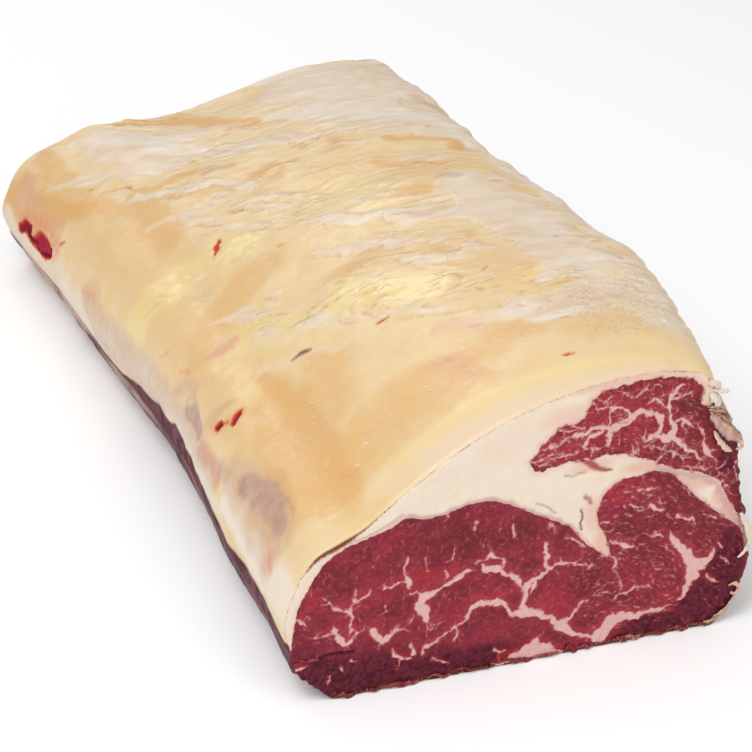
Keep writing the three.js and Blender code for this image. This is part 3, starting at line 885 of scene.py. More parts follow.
def loose_flecks(flecks, grain, seed):
    """Short loose flecks of fat along the grain, as a depth raster."""
    count, area, widths = flecks
    draw = np.random.default_rng(seed)
    field = np.full(RASTER_SIZE, RASTER_EMPTY)
    for _ in range(count):
        x = draw.uniform(area[0], area[1])
        z = draw.uniform(area[2], area[3])
        angle = draw.normal(np.interp(x, grain[0], grain[1]), 0.35)
        half = draw.uniform(0.3, 1.6)
        width = draw.uniform(widths[0], widths[1])
        dx = math.cos(angle) * half
        dz = math.sin(angle) * half
        fleck = [(x - dx, z - dz, width - 0.1), (x, z, width), (x + dx, z + dz, width - 0.1)]
        draw_strand(field, np.array(fleck))
    return field


def fat_nearby(field):
    """How much fat lies around each spot of a raster."""
    return blurred(blurred(smooth(-0.1, 0.3, field), 6), 6)


def sample(field, x, z):
    """Raster values between its spots."""
    column = np.clip((x - RASTER_LOW[0]) / RASTER, 0, RASTER_SIZE[1] - 1.001)
    row = np.clip((z - RASTER_LOW[1]) / RASTER, 0, RASTER_SIZE[0] - 1.001)
    i = row.astype(int)
    j = column.astype(int)
    fz = row - i
    fx = column - j
    low = field[i, j] * (1 - fx) + field[i, j + 1] * fx
    high = field[i + 1, j] * (1 - fx) + field[i + 1, j + 1] * fx
    return low * (1 - fz) + high * fz


class Parts:
    """Collects the surfaces of one piece and what the material reads at their points."""

    def __init__(self, names):
        self.names = names
        self.points = []
        self.faces = []
        self.values = {name: [] for name in names}
        self.count = 0

    def add(self, points, faces, **values):
        """Takes in one surface; a value that isn't given is 0 on it."""
        flat = points.reshape(-1, 3)
        self.faces.extend([[corner + self.count for corner in face] for face in faces])
        self.points.append(flat)
        for name in self.names:
            spread = np.broadcast_to(values.get(name, 0.0), points.shape[:-1])
            self.values[name].append(spread.ravel())
        self.count += len(flat)

    def piece(self, name, material, node, slot):
        """Makes the piece, in place of a node of the part."""
        mesh = bpy.data.meshes.new(name)
        points = (np.concatenate(self.points) + FRAME_SHIFT) * MM
        mesh.from_pydata(points, [], self.faces)
        for key in self.names:
            attribute = mesh.attributes.new(key, "FLOAT", "POINT")
            attribute.data.foreach_set("value", np.concatenate(self.values[key]).astype(np.float32))
        mesh.shade_smooth()
        mesh.materials.append(material)
        made = bpy.data.objects.new(name, mesh)
        bpy.context.scene.collection.objects.link(made)
        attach(made, "root")
        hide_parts(node)


def tone(red, green, blue, veil=SHEEN_VEIL):
    """The surface colour that shows as a screen colour from 0 to 255 under this light.

    The light lifts all colours a little, and the sheen of a surface adds a thin grey veil.
    """
    parts = np.array([red, green, blue]) / 255
    linear = np.where(parts <= 0.04045, parts / 12.92, ((parts + 0.055) / 1.055) ** 2.4)
    return (*np.maximum(linear * SURFACE_GAIN - veil, 0.003).tolist(), 1.0)


class Graph:
    """Short ways to lay out the nodes of one material."""

    def __init__(self, name):
        self.material = bpy.data.materials.new(name)
        self.material.use_nodes = True
        self.tree = self.material.node_tree
        self.shader = self.tree.nodes["Principled BSDF"]
        self.place = self.add("ShaderNodeTexCoord").outputs["Object"]

    def add(self, kind, **settings):
        """A new node with its settings."""
        node = self.tree.nodes.new(kind)
        for key, value in settings.items():
            setattr(node, key, value)
        return node

    def feed(self, socket, value):
        """Links a socket to another one, or sets it to a plain value."""
        if isinstance(value, bpy.types.NodeSocket):
            self.tree.links.new(value, socket)
        else:
            socket.default_value = value

    def read(self, name):
        """A value that the piece carries at its points."""
        return self.add("ShaderNodeAttribute", attribute_name=name).outputs["Fac"]

    def noise(self, size, detail=3.0, stretch=(1, 1, 1), slant=0.0, source=None):
        """Noise from 0 to 1 with features of a size, in millimetres over the object's own place."""
        node = self.add("ShaderNodeTexNoise")
        mapping = self.add("ShaderNodeMapping", vector_type="TEXTURE")
        unit = 1 if source else MM
        self.feed(mapping.inputs["Vector"], source or self.place)
        mapping.inputs["Scale"].default_value = [k * size * unit for k in stretch]
        mapping.inputs["Rotation"].default_value = (0, slant, 0)
        self.feed(node.inputs["Vector"], mapping.outputs["Vector"])
        node.inputs["Scale"].default_value = 1.0
        node.inputs["Detail"].default_value = detail
        return node.outputs["Fac"]

    def math(self, kind, a, b=0.0):
        """The result of a sum, product or the like of two values."""
        node = self.add("ShaderNodeMath", operation=kind)
        self.feed(node.inputs[0], a)
        self.feed(node.inputs[1], b)
        return node.outputs[0]

    def ramp(self, value, low, high, to_low=0.0, to_high=1.0):
        """A soft step from one value at low to another at high."""
        node = self.add("ShaderNodeMapRange", interpolation_type="SMOOTHSTEP")
        for key, given in zip(("Value", "From Min", "From Max", "To Min", "To Max"),
                              (value, low, high, to_low, to_high)):
            self.feed(node.inputs[key], given)
        return node.outputs["Result"]

    def blur(self, value, grain, strength):
        """A value with noise added, so that a threshold on it gets a ragged edge."""
        return self.math("ADD", value, self.math("MULTIPLY", self.math("SUBTRACT", grain, 0.5), strength))

    def blend(self, factor, a, b):
        """A value between two others."""
        node = self.add("ShaderNodeMix", data_type="FLOAT")
        for socket, given in zip(node.inputs[0:1] + node.inputs[2:4], (factor, a, b)):
            self.feed(socket, given)
        return node.outputs[0]

    def mix(self, factor, a, b):
        """A colour between two others."""
        node = self.add("ShaderNodeMix", data_type="RGBA")
        self.feed(node.inputs["Factor"], factor)
        self.feed(node.inputs[6], a)
        self.feed(node.inputs[7], b)
        return node.outputs[2]

    def bump(self, height, distance, before=None):
        """A fine relief of a height in millimetres, on top of the one before it."""
        node = self.add("ShaderNodeBump")
        node.inputs["Distance"].default_value = distance * MM
        self.feed(node.inputs["Height"], height)
        if before is not None:
            self.feed(node.inputs["Normal"], before)
        return node.outputs["Normal"]

    def finish(self, color, roughness, normal, sheen, subsurface, radius):
        """The finished material; radius is how far each colour of light spreads under the surface."""
        self.feed(self.shader.inputs["Base Color"], color)
        self.feed(self.shader.inputs["Roughness"], roughness)
        self.feed(self.shader.inputs["Normal"], normal)
        self.feed(self.shader.inputs["Specular IOR Level"], sheen)
        self.shader.inputs["Subsurface Weight"].default_value = subsurface
        self.shader.inputs["Subsurface Radius"].default_value = radius
        self.shader.inputs["Subsurface Scale"].default_value = MM
        return self.material


def dried_fat(g, broad):
    """Tones of the fat's outside under its torn layers."""
    color = g.mix(g.ramp(broad, 0.35, 0.65), tone(235, 204, 152), tone(237, 210, 164))
    color = g.mix(g.read("tan"), color, tone(227, 178, 114))
    color = g.mix(g.read("yellow"), color, tone(242, 218, 154))
    return g.mix(g.read("pale"), color, tone(236, 214, 188))


def torn_film(g, color, broad, streak, thread):
    """Pale torn sheets over a colour, with shadow in their creases and light on their edges."""
    calm = g.read("calm")
    busy = g.blend(calm, 0.5, 0.12)
    film = g.blur(g.read("sheet"), g.blur(streak, thread, 0.3), busy)
    patchy = g.ramp(g.blend(calm, streak, broad), 0.3, 0.7)
    whole = g.mix(patchy, tone(228, 199, 168), tone(238, 222, 202))
    color = g.mix(g.ramp(film, 0.25, 0.75, 0.0, 0.85), color, whole)
    # Painted shade in the creases of the relief, and a painted highlight on its ridges
    relief_shading = g.blur(g.read("relief_shading"), thread, busy)
    color = g.mix(g.ramp(relief_shading, 0.2, 1.0, 0.0, 0.5), color, tone(196, 156, 112))
    return g.mix(g.ramp(relief_shading, -0.2, -1.0, 0.0, 0.6), color, tone(243, 230, 208))


def near_level(g, value, level, reach):
    """1 where a value is at a level, falling to 0 within a reach to both sides."""
    off = g.math("ABSOLUTE", g.math("SUBTRACT", value, level))
    return g.ramp(off, 0.0, reach, 1.0, 0.0)


def fine_folds(g, color, fold):
    """Painted shade in thin grooves and a painted highlight on their brim, where the outer layers are folded.
    """
    folded = g.read("folded")
    groove_shade = g.math("MULTIPLY", near_level(g, fold, 0.5, 0.016), folded)
    brim_highlight = g.math("MULTIPLY", near_level(g, fold, 0.526, 0.02), folded)
    # Painted highlight on the brim, then painted shade in the groove
    color = g.mix(g.math("MULTIPLY", brim_highlight, 0.5), color, tone(242, 230, 210))
    return g.mix(g.math("MULTIPLY", groove_shade, 0.28), color, tone(196, 154, 110))


def outer_marks(g, color, streak, grit, scratch_and_glint):
    """White bloom, grit, a painted glint along the scratches, and the bright stripe behind the shown cut."""
    bloom = g.ramp(g.blur(g.read("white"), streak, 0.5), 0.1, 0.9, 0.0, 0.85)
    color = g.mix(bloom, color, tone(238, 226, 211))
    color = g.mix(g.ramp(grit, 0.35, 0.7, 0.0, 0.45), color, tone(212, 176, 132))
    # Painted glint on the scratches, which also get a small real relief
    color = g.mix(g.math("MULTIPLY", scratch_and_glint, 0.7), color, tone(246, 232, 204))
    return g.mix(g.read("stripe"), color, tone(240, 216, 162))


def cut_fat(g, outside, broad):
    """The cream of the cut beside the colour outside, with rosy and grey parts on both."""
    on_cut = g.read("cut")
    cream = g.mix(g.ramp(broad, 0.3, 0.7), tone(241, 226, 206), tone(239, 221, 200))
    color = g.mix(on_cut, outside, cream)
    color = g.mix(g.read("blush"), color, g.mix(on_cut, tone(225, 171, 137), tone(230, 180, 164)))
    bruise = g.mix(g.ramp(g.noise(7, 3), 0.35, 0.65), tone(186, 147, 127), tone(200, 164, 146))
    return g.mix(g.read("grey"), color, g.mix(on_cut, bruise, tone(206, 166, 161)))


def fat_stains(g, color, streak, lean, blood):
    """Lean under the fat's foot, then blood from a thin orange rim to a dark middle, then browned spots."""
    strip = g.mix(g.ramp(streak, 0.3, 0.7), tone(92, 58, 66, 0), tone(128, 92, 96, 0))
    color = g.mix(g.ramp(lean, 0.25, 0.75), color, strip)
    stain = g.mix(g.ramp(blood, 0.3, 0.75), tone(222, 146, 104, 0), tone(196, 78, 60, 0))
    stain = g.mix(g.ramp(blood, 0.8, 1.1), stain, tone(158, 46, 62, 0))
    stain = g.mix(g.ramp(blood, 1.05, 1.4), stain, tone(104, 26, 48, 0))
    color = g.mix(g.ramp(blood, 0.05, 0.85), color, stain)
    color = g.mix(g.read("brown"), color, tone(128, 68, 46, 0))
    return g.mix(g.read("flesh"), color, tone(164, 58, 64))


def fat_relief(g, fine, thread, fold, grit, scratch_and_glint):
    """Fine relief of the fat: grain, threads, steps at the folds, grit and scratches."""
    sleek = g.math("MAXIMUM", g.math("MAXIMUM", g.read("wet"), g.read("calm")), g.read("grey"))
    grainy = g.blend(sleek, 1.0, 0.3)
    step = g.math("MULTIPLY", g.ramp(fold, 0.49, 0.53), g.read("folded"))
    normal = g.bump(g.math("MULTIPLY", fine, grainy), 0.15)
    normal = g.bump(g.math("MULTIPLY", thread, grainy), 0.11, normal)
    normal = g.bump(step, 0.3, normal)
    normal = g.bump(grit, 0.4, normal)
    return g.bump(scratch_and_glint, 0.15, normal)


def fat_material():
    """Waxy fat: cream where it is cut, tan to yellow outside under pale torn layers."""
    g = Graph("fat")
    lie = g.add("ShaderNodeCombineXYZ")
    g.feed(lie.inputs["X"], g.read("across"))
    g.feed(lie.inputs["Y"], g.read("along"))
    flow = lie.outputs["Vector"]
    broad = g.noise(14, 4)
    fine = g.noise(2.2, 4)
    streak = g.noise(1, 4, stretch=(8, 20, 1), source=flow)
    thread = g.noise(1, 3, stretch=(1.8, 7, 1), source=flow)
    fold = g.noise(1, 2.5, stretch=(6, 16, 1), source=flow)
    scratch = g.noise(1, 2, stretch=(1.0, 4.5, 1), source=flow)
    grit = g.math("MULTIPLY", g.noise(1.3, 3), g.read("grit"))
    scratch_and_glint = g.math("MULTIPLY", g.ramp(scratch, 0.58, 0.68), g.read("scratched"))
    lean = g.blur(g.read("lean"), broad, 0.6)
    blood = g.blur(g.read("blood"), g.noise(4, 4), 0.4)
    color = dried_fat(g, broad)
    color = torn_film(g, color, broad, streak, thread)
    color = fine_folds(g, color, fold)
    color = outer_marks(g, color, streak, grit, scratch_and_glint)
    color = cut_fat(g, color, broad)
    color = fat_stains(g, color, streak, lean, blood)
    roughness = g.blend(g.read("wet"), g.ramp(fine, 0.3, 0.7, 0.36, 0.52), 0.26)
    normal = fat_relief(g, fine, thread, fold, grit, scratch_and_glint)
    matt = g.math("MAXIMUM", g.ramp(lean, 0.25, 0.75), g.ramp(blood, 0.1, 0.7))
    sheen = g.blend(g.math("MAXIMUM", matt, g.read("brown")), 0.5, 0.0)
    return g.finish(color, roughness, normal, sheen, subsurface=0.2, radius=(2.4, 1.6, 1.0))


def fresh_lean(g, broad, grain, crumb, fresh, deep):
    """Red of the lean, brighter and deeper in places, with dark crumbs."""
    color = g.mix(g.ramp(broad, 0.35, 0.65), deep, fresh)
    rich = g.blur(g.read("rich"), grain, 0.8)
    color = g.mix(g.ramp(rich, 0.0, 0.9, 0.0, 0.85), color, tone(172, 58, 68))
    color = g.mix(g.ramp(rich, 0.0, -0.9, 0.0, 0.8), color, tone(112, 40, 54))
    color = g.mix(g.ramp(grain, 0.42, 0.75, 0.0, 0.45), color, tone(174, 82, 90))
    return g.mix(g.ramp(crumb, 0.25, 0.52, 0.5, 0.0), color, tone(86, 22, 34))


def lean_mottling(g, color, slant):
    """Fine dark and light flecks that lie at a slant."""
    fleck = g.noise(1.0, 2, stretch=(2.0, 1.0, 0.7), slant=slant)
    mottled = g.read("mottled")
    dark = g.math("MULTIPLY", g.ramp(fleck, 0.3, 0.46, 0.75, 0.0), mottled)
    light = g.math("MULTIPLY", g.ramp(fleck, 0.62, 0.72, 0.0, 0.65), mottled)
    color = g.mix(dark, color, tone(92, 28, 40))
    return g.mix(light, color, tone(206, 126, 126))


def lean_marbling(g, color, vein, fat, flush):
    """Strands of fat in the lean, with a red flush beside them."""
    color = g.mix(g.ramp(g.read("glow"), 0.03, 0.4, 0.0, flush), color, tone(176, 68, 76))
    color = g.mix(g.ramp(vein, -0.9, 0.1, 0.0, flush), color, tone(174, 74, 82))
    return g.mix(fat, color, g.mix(g.ramp(vein, 0.0, 1.2), tone(204, 136, 138), tone(229, 187, 180)))


def dried_hide(g, color, grain, crumb):
    """The leathery side of a muscle under torn membranes, with a speckled crust."""
    hide = g.noise(5, 5, stretch=(1, 6, 1))
    leather = g.mix(g.ramp(hide, 0.3, 0.7), tone(72, 36, 44, DRY_VEIL), tone(122, 80, 84, DRY_VEIL))
    color = g.mix(g.math("MULTIPLY", g.read("leather"), 0.85), color, leather)
    film = g.math("MULTIPLY", g.read("skin"), g.ramp(g.blur(hide, grain, 0.4), 0.2, 0.8, 0.1, 1.9))
    membrane = g.mix(hide, tone(166, 126, 122), tone(226, 202, 186))
    color = g.mix(g.ramp(film, 0.2, 1.2, 0.0, 0.9), color, membrane)
    crust = g.blur(g.blur(g.read("crust"), grain, 1.0), crumb, 1.4)
    speckle = g.mix(g.ramp(crumb, 0.45, 0.7), tone(70, 28, 24), tone(196, 120, 84))
    return g.mix(g.ramp(crust, 0.35, 0.8), color, speckle)


def lean_material(name, fresh, deep, flush, slant):
    """Moist lean with pink-white marbling, dried dark at its edges.

    Flush is the red glow beside the fat, and slant the lie of the fine mottling.
    """
    g = Graph(name)
    broad = g.noise(8, 4)
    grain = g.noise(1.5, 5)
    crumb = g.noise(0.55, 3)
    dried = g.ramp(g.blur(g.read("dry"), g.blur(broad, grain, 0.5), 0.7), 0.1, 1.1)
    vein = g.blur(g.blur(g.read("vein"), grain, 1.4), crumb, 0.9)
    fat = g.ramp(vein, -0.3, 0.5)
    color = fresh_lean(g, broad, grain, crumb, fresh, deep)
    color = lean_mottling(g, color, slant)
    dark = g.mix(g.ramp(grain, 0.35, 0.65), tone(84, 36, 46, DRY_VEIL), tone(108, 50, 61, DRY_VEIL))
    color = g.mix(dried, color, dark)
    color = lean_marbling(g, color, vein, fat, flush)
    color = dried_hide(g, color, grain, crumb)
    roughness = g.ramp(grain, 0.3, 0.7, 0.3, 0.5)
    normal = g.bump(crumb, 0.1)
    normal = g.bump(fat, 0.2, normal)
    normal = g.bump(grain, 0.3, normal)
    sheen = g.blend(g.math("MAXIMUM", dried, g.read("leather")), 0.28, 0.04)
    return g.finish(color, roughness, normal, sheen, subsurface=0.1, radius=(2.0, 0.7, 0.5))


def zipper(first, first_at, second, second_at):
    """Triangles between two rows of points that have their own places along the loin."""
    faces = []
    i = j = 0
    while i < len(first) - 1 or j < len(second) - 1:
        if j == len(second) - 1 or (i < len(first) - 1 and first_at[i + 1] <= second_at[j + 1]):
            faces.append([first[i], second[j], first[i + 1]])
            i += 1
        else:
            faces.append([first[i], second[j], second[j + 1]])
            j += 1
    return faces


def hidden_wall(parts, points, start, start_at, end, end_at, flip, **values):
    """The wall of a piece along a line inside the loin; it ends on the edges of the skins beside it."""
    line_at = points[1:-1]
    rows = len(inner_rows)
    columns = len(line_at)
    middle = skin(line_at, inner_rows, np.zeros((rows, columns)))
    ids = len(start) + np.arange(rows * columns).reshape(rows, columns)
    ends = len(start) + rows * columns + np.arange(len(end))
    faces = zipper(np.arange(len(start)), start_at, ids[:, 0], inner_rows)
    faces += (grid_faces(rows, columns) + len(start)).tolist()
    faces += zipper(ids[:, -1], inner_rows, ends, end_at)
    if flip:
        faces = [face[::-1] for face in faces]
    parts.add(np.vstack([start, middle.reshape(-1, 3), end]), faces, **values)


def on_section(points, share):
    """Section points where they come to lie on one of the two cuts."""
    return place(points[:, 0], points[:, 1], np.full(len(points), float(share)))


def face_relief(points, share, lift, seed):
    """Section points set on a cut, roughened a little and raised by lift."""
    x = points[:, 0]
    z = points[:, 1]
    on_cut = on_section(points, share)
    rough = 0.12 * layered_noise(x / 3, z / 3, seed, 3) + lift
    on_cut[:, 1] += rough if share else -rough
    return on_cut


def cut_face(parts, outline, walls, spacing, share, values):
    """A cut through a piece; its edge lies on the walls' own end points."""
    points, triangles = face_net(outline, spacing)
    given, lift = values(points[:, 0], points[:, 1], share)
    lift[:len(outline)] = 0
    on_cut = face_relief(points, share, lift, SEED + share)
    on_cut[:len(outline)] = walls
    first = points[triangles[:, 1]] - points[triangles[:, 0]]
    second = points[triangles[:, 2]] - points[triangles[:, 0]]
    turned = first[:, 0] * second[:, 1] - first[:, 1] * second[:, 0]
    facing = turned > 0 if share else turned < 0
    triangles[facing] = triangles[facing][:, ::-1]
    parts.add(on_cut, triangles, **given)


# Lines of the section, with the edges between fat and lean torn a little
fat_line = line(FAT_OUTSIDE, FAT_LINE_SPACING)
cap_edge = torn_line(line(CAP_EDGE, CAP_EDGE_SPACING), *CAP_EDGE_TEAR, SEED + 71)
eye_edge = torn_line(line(EYE_EDGE, EYE_EDGE_SPACING), *EYE_EDGE_TEAR, SEED + 72)
cap_line = line(CAP_OUTSIDE, CAP_LINE_SPACING)
seam_line = line(SEAM_OUTSIDE, SEAM_LINE_SPACING)
eye_line = line(EYE_OUTSIDE, EYE_LINE_SPACING)

# Rows along the loin
fine_rows = stations(FINE_ROW_SPACING)
side_rows = stations(SIDE_ROW_SPACING)
inner_rows = np.linspace(0, LENGTH, INNER_ROWS)

# Rasters of the marbling and of the loose flecks
eye_field = marbling(EYE_STRANDS, EYE_TWIGS, SEED)
eye_flecks = np.maximum(
    loose_flecks(LEFT_FLECKS, EYE_GRAIN, SEED + 2), loose_flecks(RIGHT_FLECKS, EYE_GRAIN, SEED + 3))
cap_field = marbling(CAP_STRANDS, CAP_TWIGS, SEED + 1)
cap_flecks = loose_flecks(CAP_FLECKS, CAP_GRAIN, SEED + 4)


def torn_layers(across, along, size, stretch, levels, seed):
    """Height in layers of thin sheets torn along uneven lines, each edge fading in and out."""
    field = layered_noise(across / size, along / (stretch * size), seed, 4)
    height = np.zeros(field.shape)
    for k, level in enumerate(levels):
        lift = smooth(-0.3, 0.35, noise(across / (2.2 * size), along / (4 * size), seed + 60 + k))
        height += lift * smooth(level, level + 1.6 / size, field)
    return height


def lay_flap(s, d, relief, sheet, middle, slant, half_length, half_width, height, shade, seed):
    """Lays one thin leaf of dried fat on the surface; its edge towards the cut stands up."""
    window = np.ix_(np.abs(d[:, 0] - middle[1]) < half_length, np.abs(s[0] - middle[0]) < half_length)
    ds = s[window] - middle[0]
    dd = d[window] - middle[1]
    along = ds * math.cos(slant) - dd * math.sin(slant)
    across = ds * math.sin(slant) + dd * math.cos(slant)
    across = across + 0.6 * half_width * layered_noise(along / (5 * half_width), across / 20, seed, 2)
    taper = half_width * np.clip(1 - (along / half_length) ** 2, 0, 1)
    cover = smooth(-1.6, 1.6, across + taper) * smooth(0, 0.9 * half_width, taper - across)
    cover *= smooth(0, 0.8, taper)
    fall = smooth(0, 2 * half_width, taper - across)
    relief[window] += height * cover * fall
    sheet[window] += (shade - sheet[window]) * cover * (0.3 + 0.5 * fall)


def flaps(s, d, zone, relief, sheet):
    """Flaking outer layers: some wide sheets, then small slivers, longer towards the far end."""
    draw = np.random.default_rng(SEED + 5)
    for count, short, long, narrow, wide in FLAP_KINDS:
        for seed in range(count):
            middle = (draw.uniform(*FLAP_S), draw.uniform(*FLAP_D))
            row = np.argmin(np.abs(d[:, 0] - middle[1]))
            column = np.argmin(np.abs(s[0] - middle[0]))
            half_length = draw.uniform(short, long) * (0.8 + 0.9 * float(smooth(210, 330, middle[1])))
            half_width = draw.uniform(narrow, wide)
            slant = draw.normal(0.6, 0.2) - 0.25 * float(smooth(140, 190, middle[0]))
            height = draw.uniform(*FLAP_HEIGHT)
            shade = draw.choice(FLAP_SHADES, p=FLAP_SHADE_SHARES)
            if draw.uniform() < zone[row, column]:
                lay_flap(s, d, relief, sheet, middle, slant, half_length, half_width, height, shade, seed)


def lie_of_layers(s, d):
    """Distances across and along the lie of the torn layers, which bends over the top."""
    bend = 9 * layered_noise(s / 50, d / 50, SEED + 2, 4)
    across = d + 0.85 * s - 0.0016 * s**2 + bend
    along = 0.76 * s - 0.65 * d
    return across, along


def flaking_zone(s, d):
    """Where the outer layers of the fat flake, from 0 to 1."""
    edge = np.interp(s, FLAKE_EDGE_S, FLAKE_EDGE_D) + 10 * layered_noise(s / 16, d / 40, SEED + 3, 2)
    return smooth(-6, 14, d - edge) * smooth(44, 74, s + 10 * noise(s / 22, d / 22, SEED + 5))


def drawn_tones(s, d):
    """Strength of the strokes at all places, which wander by much, by less or by little."""
    wander_s = s + 4 * layered_noise(s / 20, d / 20, SEED + 13, 4)
    wander_d = d + 5 * layered_noise(s / 20, d / 20, SEED + 14, 4)
    mild_s = 0.6 * wander_s + 0.4 * s
    mild_d = 0.6 * wander_d + 0.4 * d
    near_s = s + 0.9 * noise(s / 4, d / 4, SEED + 10)
    near_d = d + 0.9 * noise(s / 4, d / 4, SEED + 11)
    much = {
        "tan": TAN, "yellow": YELLOW, "pale": PALE, "white": WHITE,
        "rosy": ROSY, "calm": CALM, "puffy": PUFFY,
    }
    less = {"grey": GREY, "hollow": HOLLOWS, "fold": FOLD_SHADE_LINES}
    little = {"blood": BLOOD, "bruise": BRUISE}
    tones = {}
    for lists, at_s, at_d in ((much, wander_s, wander_d), (less, mild_s, mild_d), (little, near_s, near_d)):
        for name, given in lists.items():
            tones[name] = strokes(at_s, at_d, given)
    return tones


def add_pillows(relief, s, d, across, along, puffy):
    """Raises soft pillows with creases between them where the fat is puffy."""
    crumpled = puffy * smooth(-0.4, 0.5, noise(s / 16, d / 16, SEED + 28))
    wander = 3 * layered_noise(s / 9, d / 9, SEED + 33, 2)
    relief += 1.1 * crumpled * cells((across + wander) / 8, (along + 2 * wander) / 17, SEED + 7)
    relief += 0.35 * puffy * np.abs(noise((across + wander) / 7, along / 13, SEED + 34))


def flaked_layers(s, d, across, along, zone, tones):
    """Relief, pale sheets, roughness, painted crease shade and painted ridge highlight of the flaking layers.
    """
    calm = tones["calm"]
    uneven = smooth(-0.4, 0.4, layered_noise(s / 38, d / 38, SEED + 25, 2))
    rough = zone * (1 - 0.9 * calm) * (0.3 + 0.7 * uneven)
    streaked = 0.7 * layered_noise(across / 14, along / 34, SEED + 4, 4)
    crisp = 0.07 + 0.3 * smooth(-0.3, 0.3, noise(s / 34, d / 34, SEED + 26))
    window = 0.9 * smooth(0.45, 0.8, tones["tan"])
    sheet = zone * smooth(-crisp, crisp, tones["pale"] - 0.4 - window + streaked * (1 - 0.5 * calm))
    relief = 0.35 * sheet
    relief += rough * 0.25 * torn_layers(across, along, 18, 3, (-0.6, -0.2, 0.2, 0.6), SEED + 6)
    relief += rough * 0.5 * np.abs(noise(across / 8, along / 20, SEED + 27))
    add_pillows(relief, s, d, across, along, tones["puffy"])
    flaps(s, d, rough, relief, sheet)
    relief -= blurred(relief, 9)
    # Painted shading from the relief: painted shade where it lies below its surroundings, painted highlight
    # where it stands above them
    relief_shading = np.clip((blurred(relief, 2) - relief) / 0.22, -1, 1)
    return relief, sheet, rough, relief_shading


def add_unevenness(relief, s, d, across, along, wet, crinkled):
    """Adds slow waves, lumps in the yellow fat and crinkles to a relief."""
    relief += 0.5 * wet * layered_noise(across / 9, along / 13, SEED + 16, 2)
    waves = 0.45 * layered_noise(s / 28, d / 28, SEED + 8, 3)
    relief += waves + 0.08 * layered_noise(s / 5, d / 5, SEED + 9, 2)
    relief += 0.3 * crinkled * layered_noise(across / 4, along / 6, SEED + 37, 2)
    relief += 0.7 * smooth(150, 185, s) * layered_noise(s / 11, d / 13, SEED + 47, 2)


def fat_outside():
    """The fat's outside, and what its material reads there."""
    s, d = np.meshgrid(run_of(fat_line), fine_rows)
    to_right = s[0, -1] - s
    across, along = lie_of_layers(s, d)
    zone = flaking_zone(s, d)
    tones = drawn_tones(s, d)
    wet = tones["yellow"]
    relief, sheet, rough, relief_shading = flaked_layers(s, d, across, along, zone, tones)
    crinkled = smooth(140, 164, s) * smooth(96, 56, d) * smooth(12, 24, d)
    add_unevenness(relief, s, d, across, along, wet, crinkled)
    ridge_at = 14 - 6 * ((s - 92) / 75) ** 2
    stripe = np.exp(-(((d - ridge_at) / 3.8) ** 2)) * smooth(28, 50, s) * smooth(205, 165, s)
    relief += 0.9 * stripe - 1.1 * smooth(0.5, 1.0, tones["blood"])
    relief -= 1.5 * tones["hollow"]
    fringe = smooth(0, 4, s) * smooth(0, 4, to_right)
    points = skin(fat_line, fine_rows, relief * fringe + edge_round(fine_rows, len(fat_line)))

    # Where the scratches run: a small real relief with a painted glint
    scratched = smooth(44, 58, s) * smooth(135, 110, s) * smooth(118, 96, d) * smooth(18, 34, d)
    scratched *= smooth(-0.2, 0.3, layered_noise(s / 18, d / 18, SEED + 38, 2))
    front = smooth(2, -3, d - ridge_at + 3) * smooth(55, 100, s)
    # Pale sheets paler at the far end, painted light that makes up for less lamp light there, and paler at
    # the left side
    paler_far_end_and_left = np.maximum(smooth(40, 26, s), smooth(230, 300, d))
    right_edge = smooth(9, 1, to_right + 6 * layered_noise(s / 9, d / 18, SEED + 43, 3)) * smooth(8, 30, d)
    strip = np.interp(d, LEAN_STRIP_D, LEAN_STRIP_S) + 2.0 * layered_noise(s / 16, d / 24, SEED + 12, 2)
    browned = 0.8 * smooth(0.8, 0.2, d) * smooth(34, 42, s) * smooth(70, 55, s)
    folded = np.clip(np.maximum(rough, tones["puffy"] * zone), 0, 1)
    damp = 0.7 * smooth(0.1, 0.6, layered_noise(s / 16, d / 16, SEED + 29, 3)) * smooth(70, 50, s)
    values = {
        "tan": tones["tan"] * (1 - front),
        "yellow": wet,
        "stripe": stripe * (0.25 + 0.75 * smooth(60, 120, s)),
        "white": tones["white"],
        "pale": np.maximum(tones["pale"] * (0.6 + 0.35 * paler_far_end_and_left), 0.7 * front),
        "sheet": sheet,
        # Painted shade lines along the folds join the painted shading of the relief
        "relief_shading": np.maximum(relief_shading, tones["fold"]),
        "across": across,
        "along": along,
        "grey": np.maximum(tones["grey"], 0.8 * right_edge),
        "blush": tones["rosy"],
        "blood": tones["blood"],
        "lean": smooth(2.5, -2.5, s - strip),
        "brown": np.maximum(browned, tones["bruise"]),
        "calm": tones["calm"],
        "grit": crinkled,
        "scratched": scratched,
        "folded": folded * smooth(-0.2, 0.3, noise(s / 13, d / 13, SEED + 39)),
        "wet": np.maximum(wet, damp),
    }
    return points, values


def seam_outside():
    """The fat between the muscles where it reaches the right side, mostly dried over."""
    run, d = np.meshgrid(run_of(seam_line), side_rows)
    from_edge = np.minimum(run, run[0, -1] - run) / run[0, -1]
    shut = from_edge - 0.3 + 0.45 * layered_noise(run / 7, d / 22, SEED + 41, 3)
    values = {
        "pale": 0.8,
        "grey": 0.4 + 0.5 * smooth(4, 20, d),
        "lean": smooth(0.15, -0.15, shut) * smooth(3, 14, d),
        "across": run * 2,
        "along": d,
    }
    bulge = 0.6 * smooth(0, 0.3, from_edge) * layered_noise(run / 9, d / 20, SEED + 42, 2)
    return skin(seam_line, side_rows, bulge + edge_round(side_rows, len(seam_line))), values


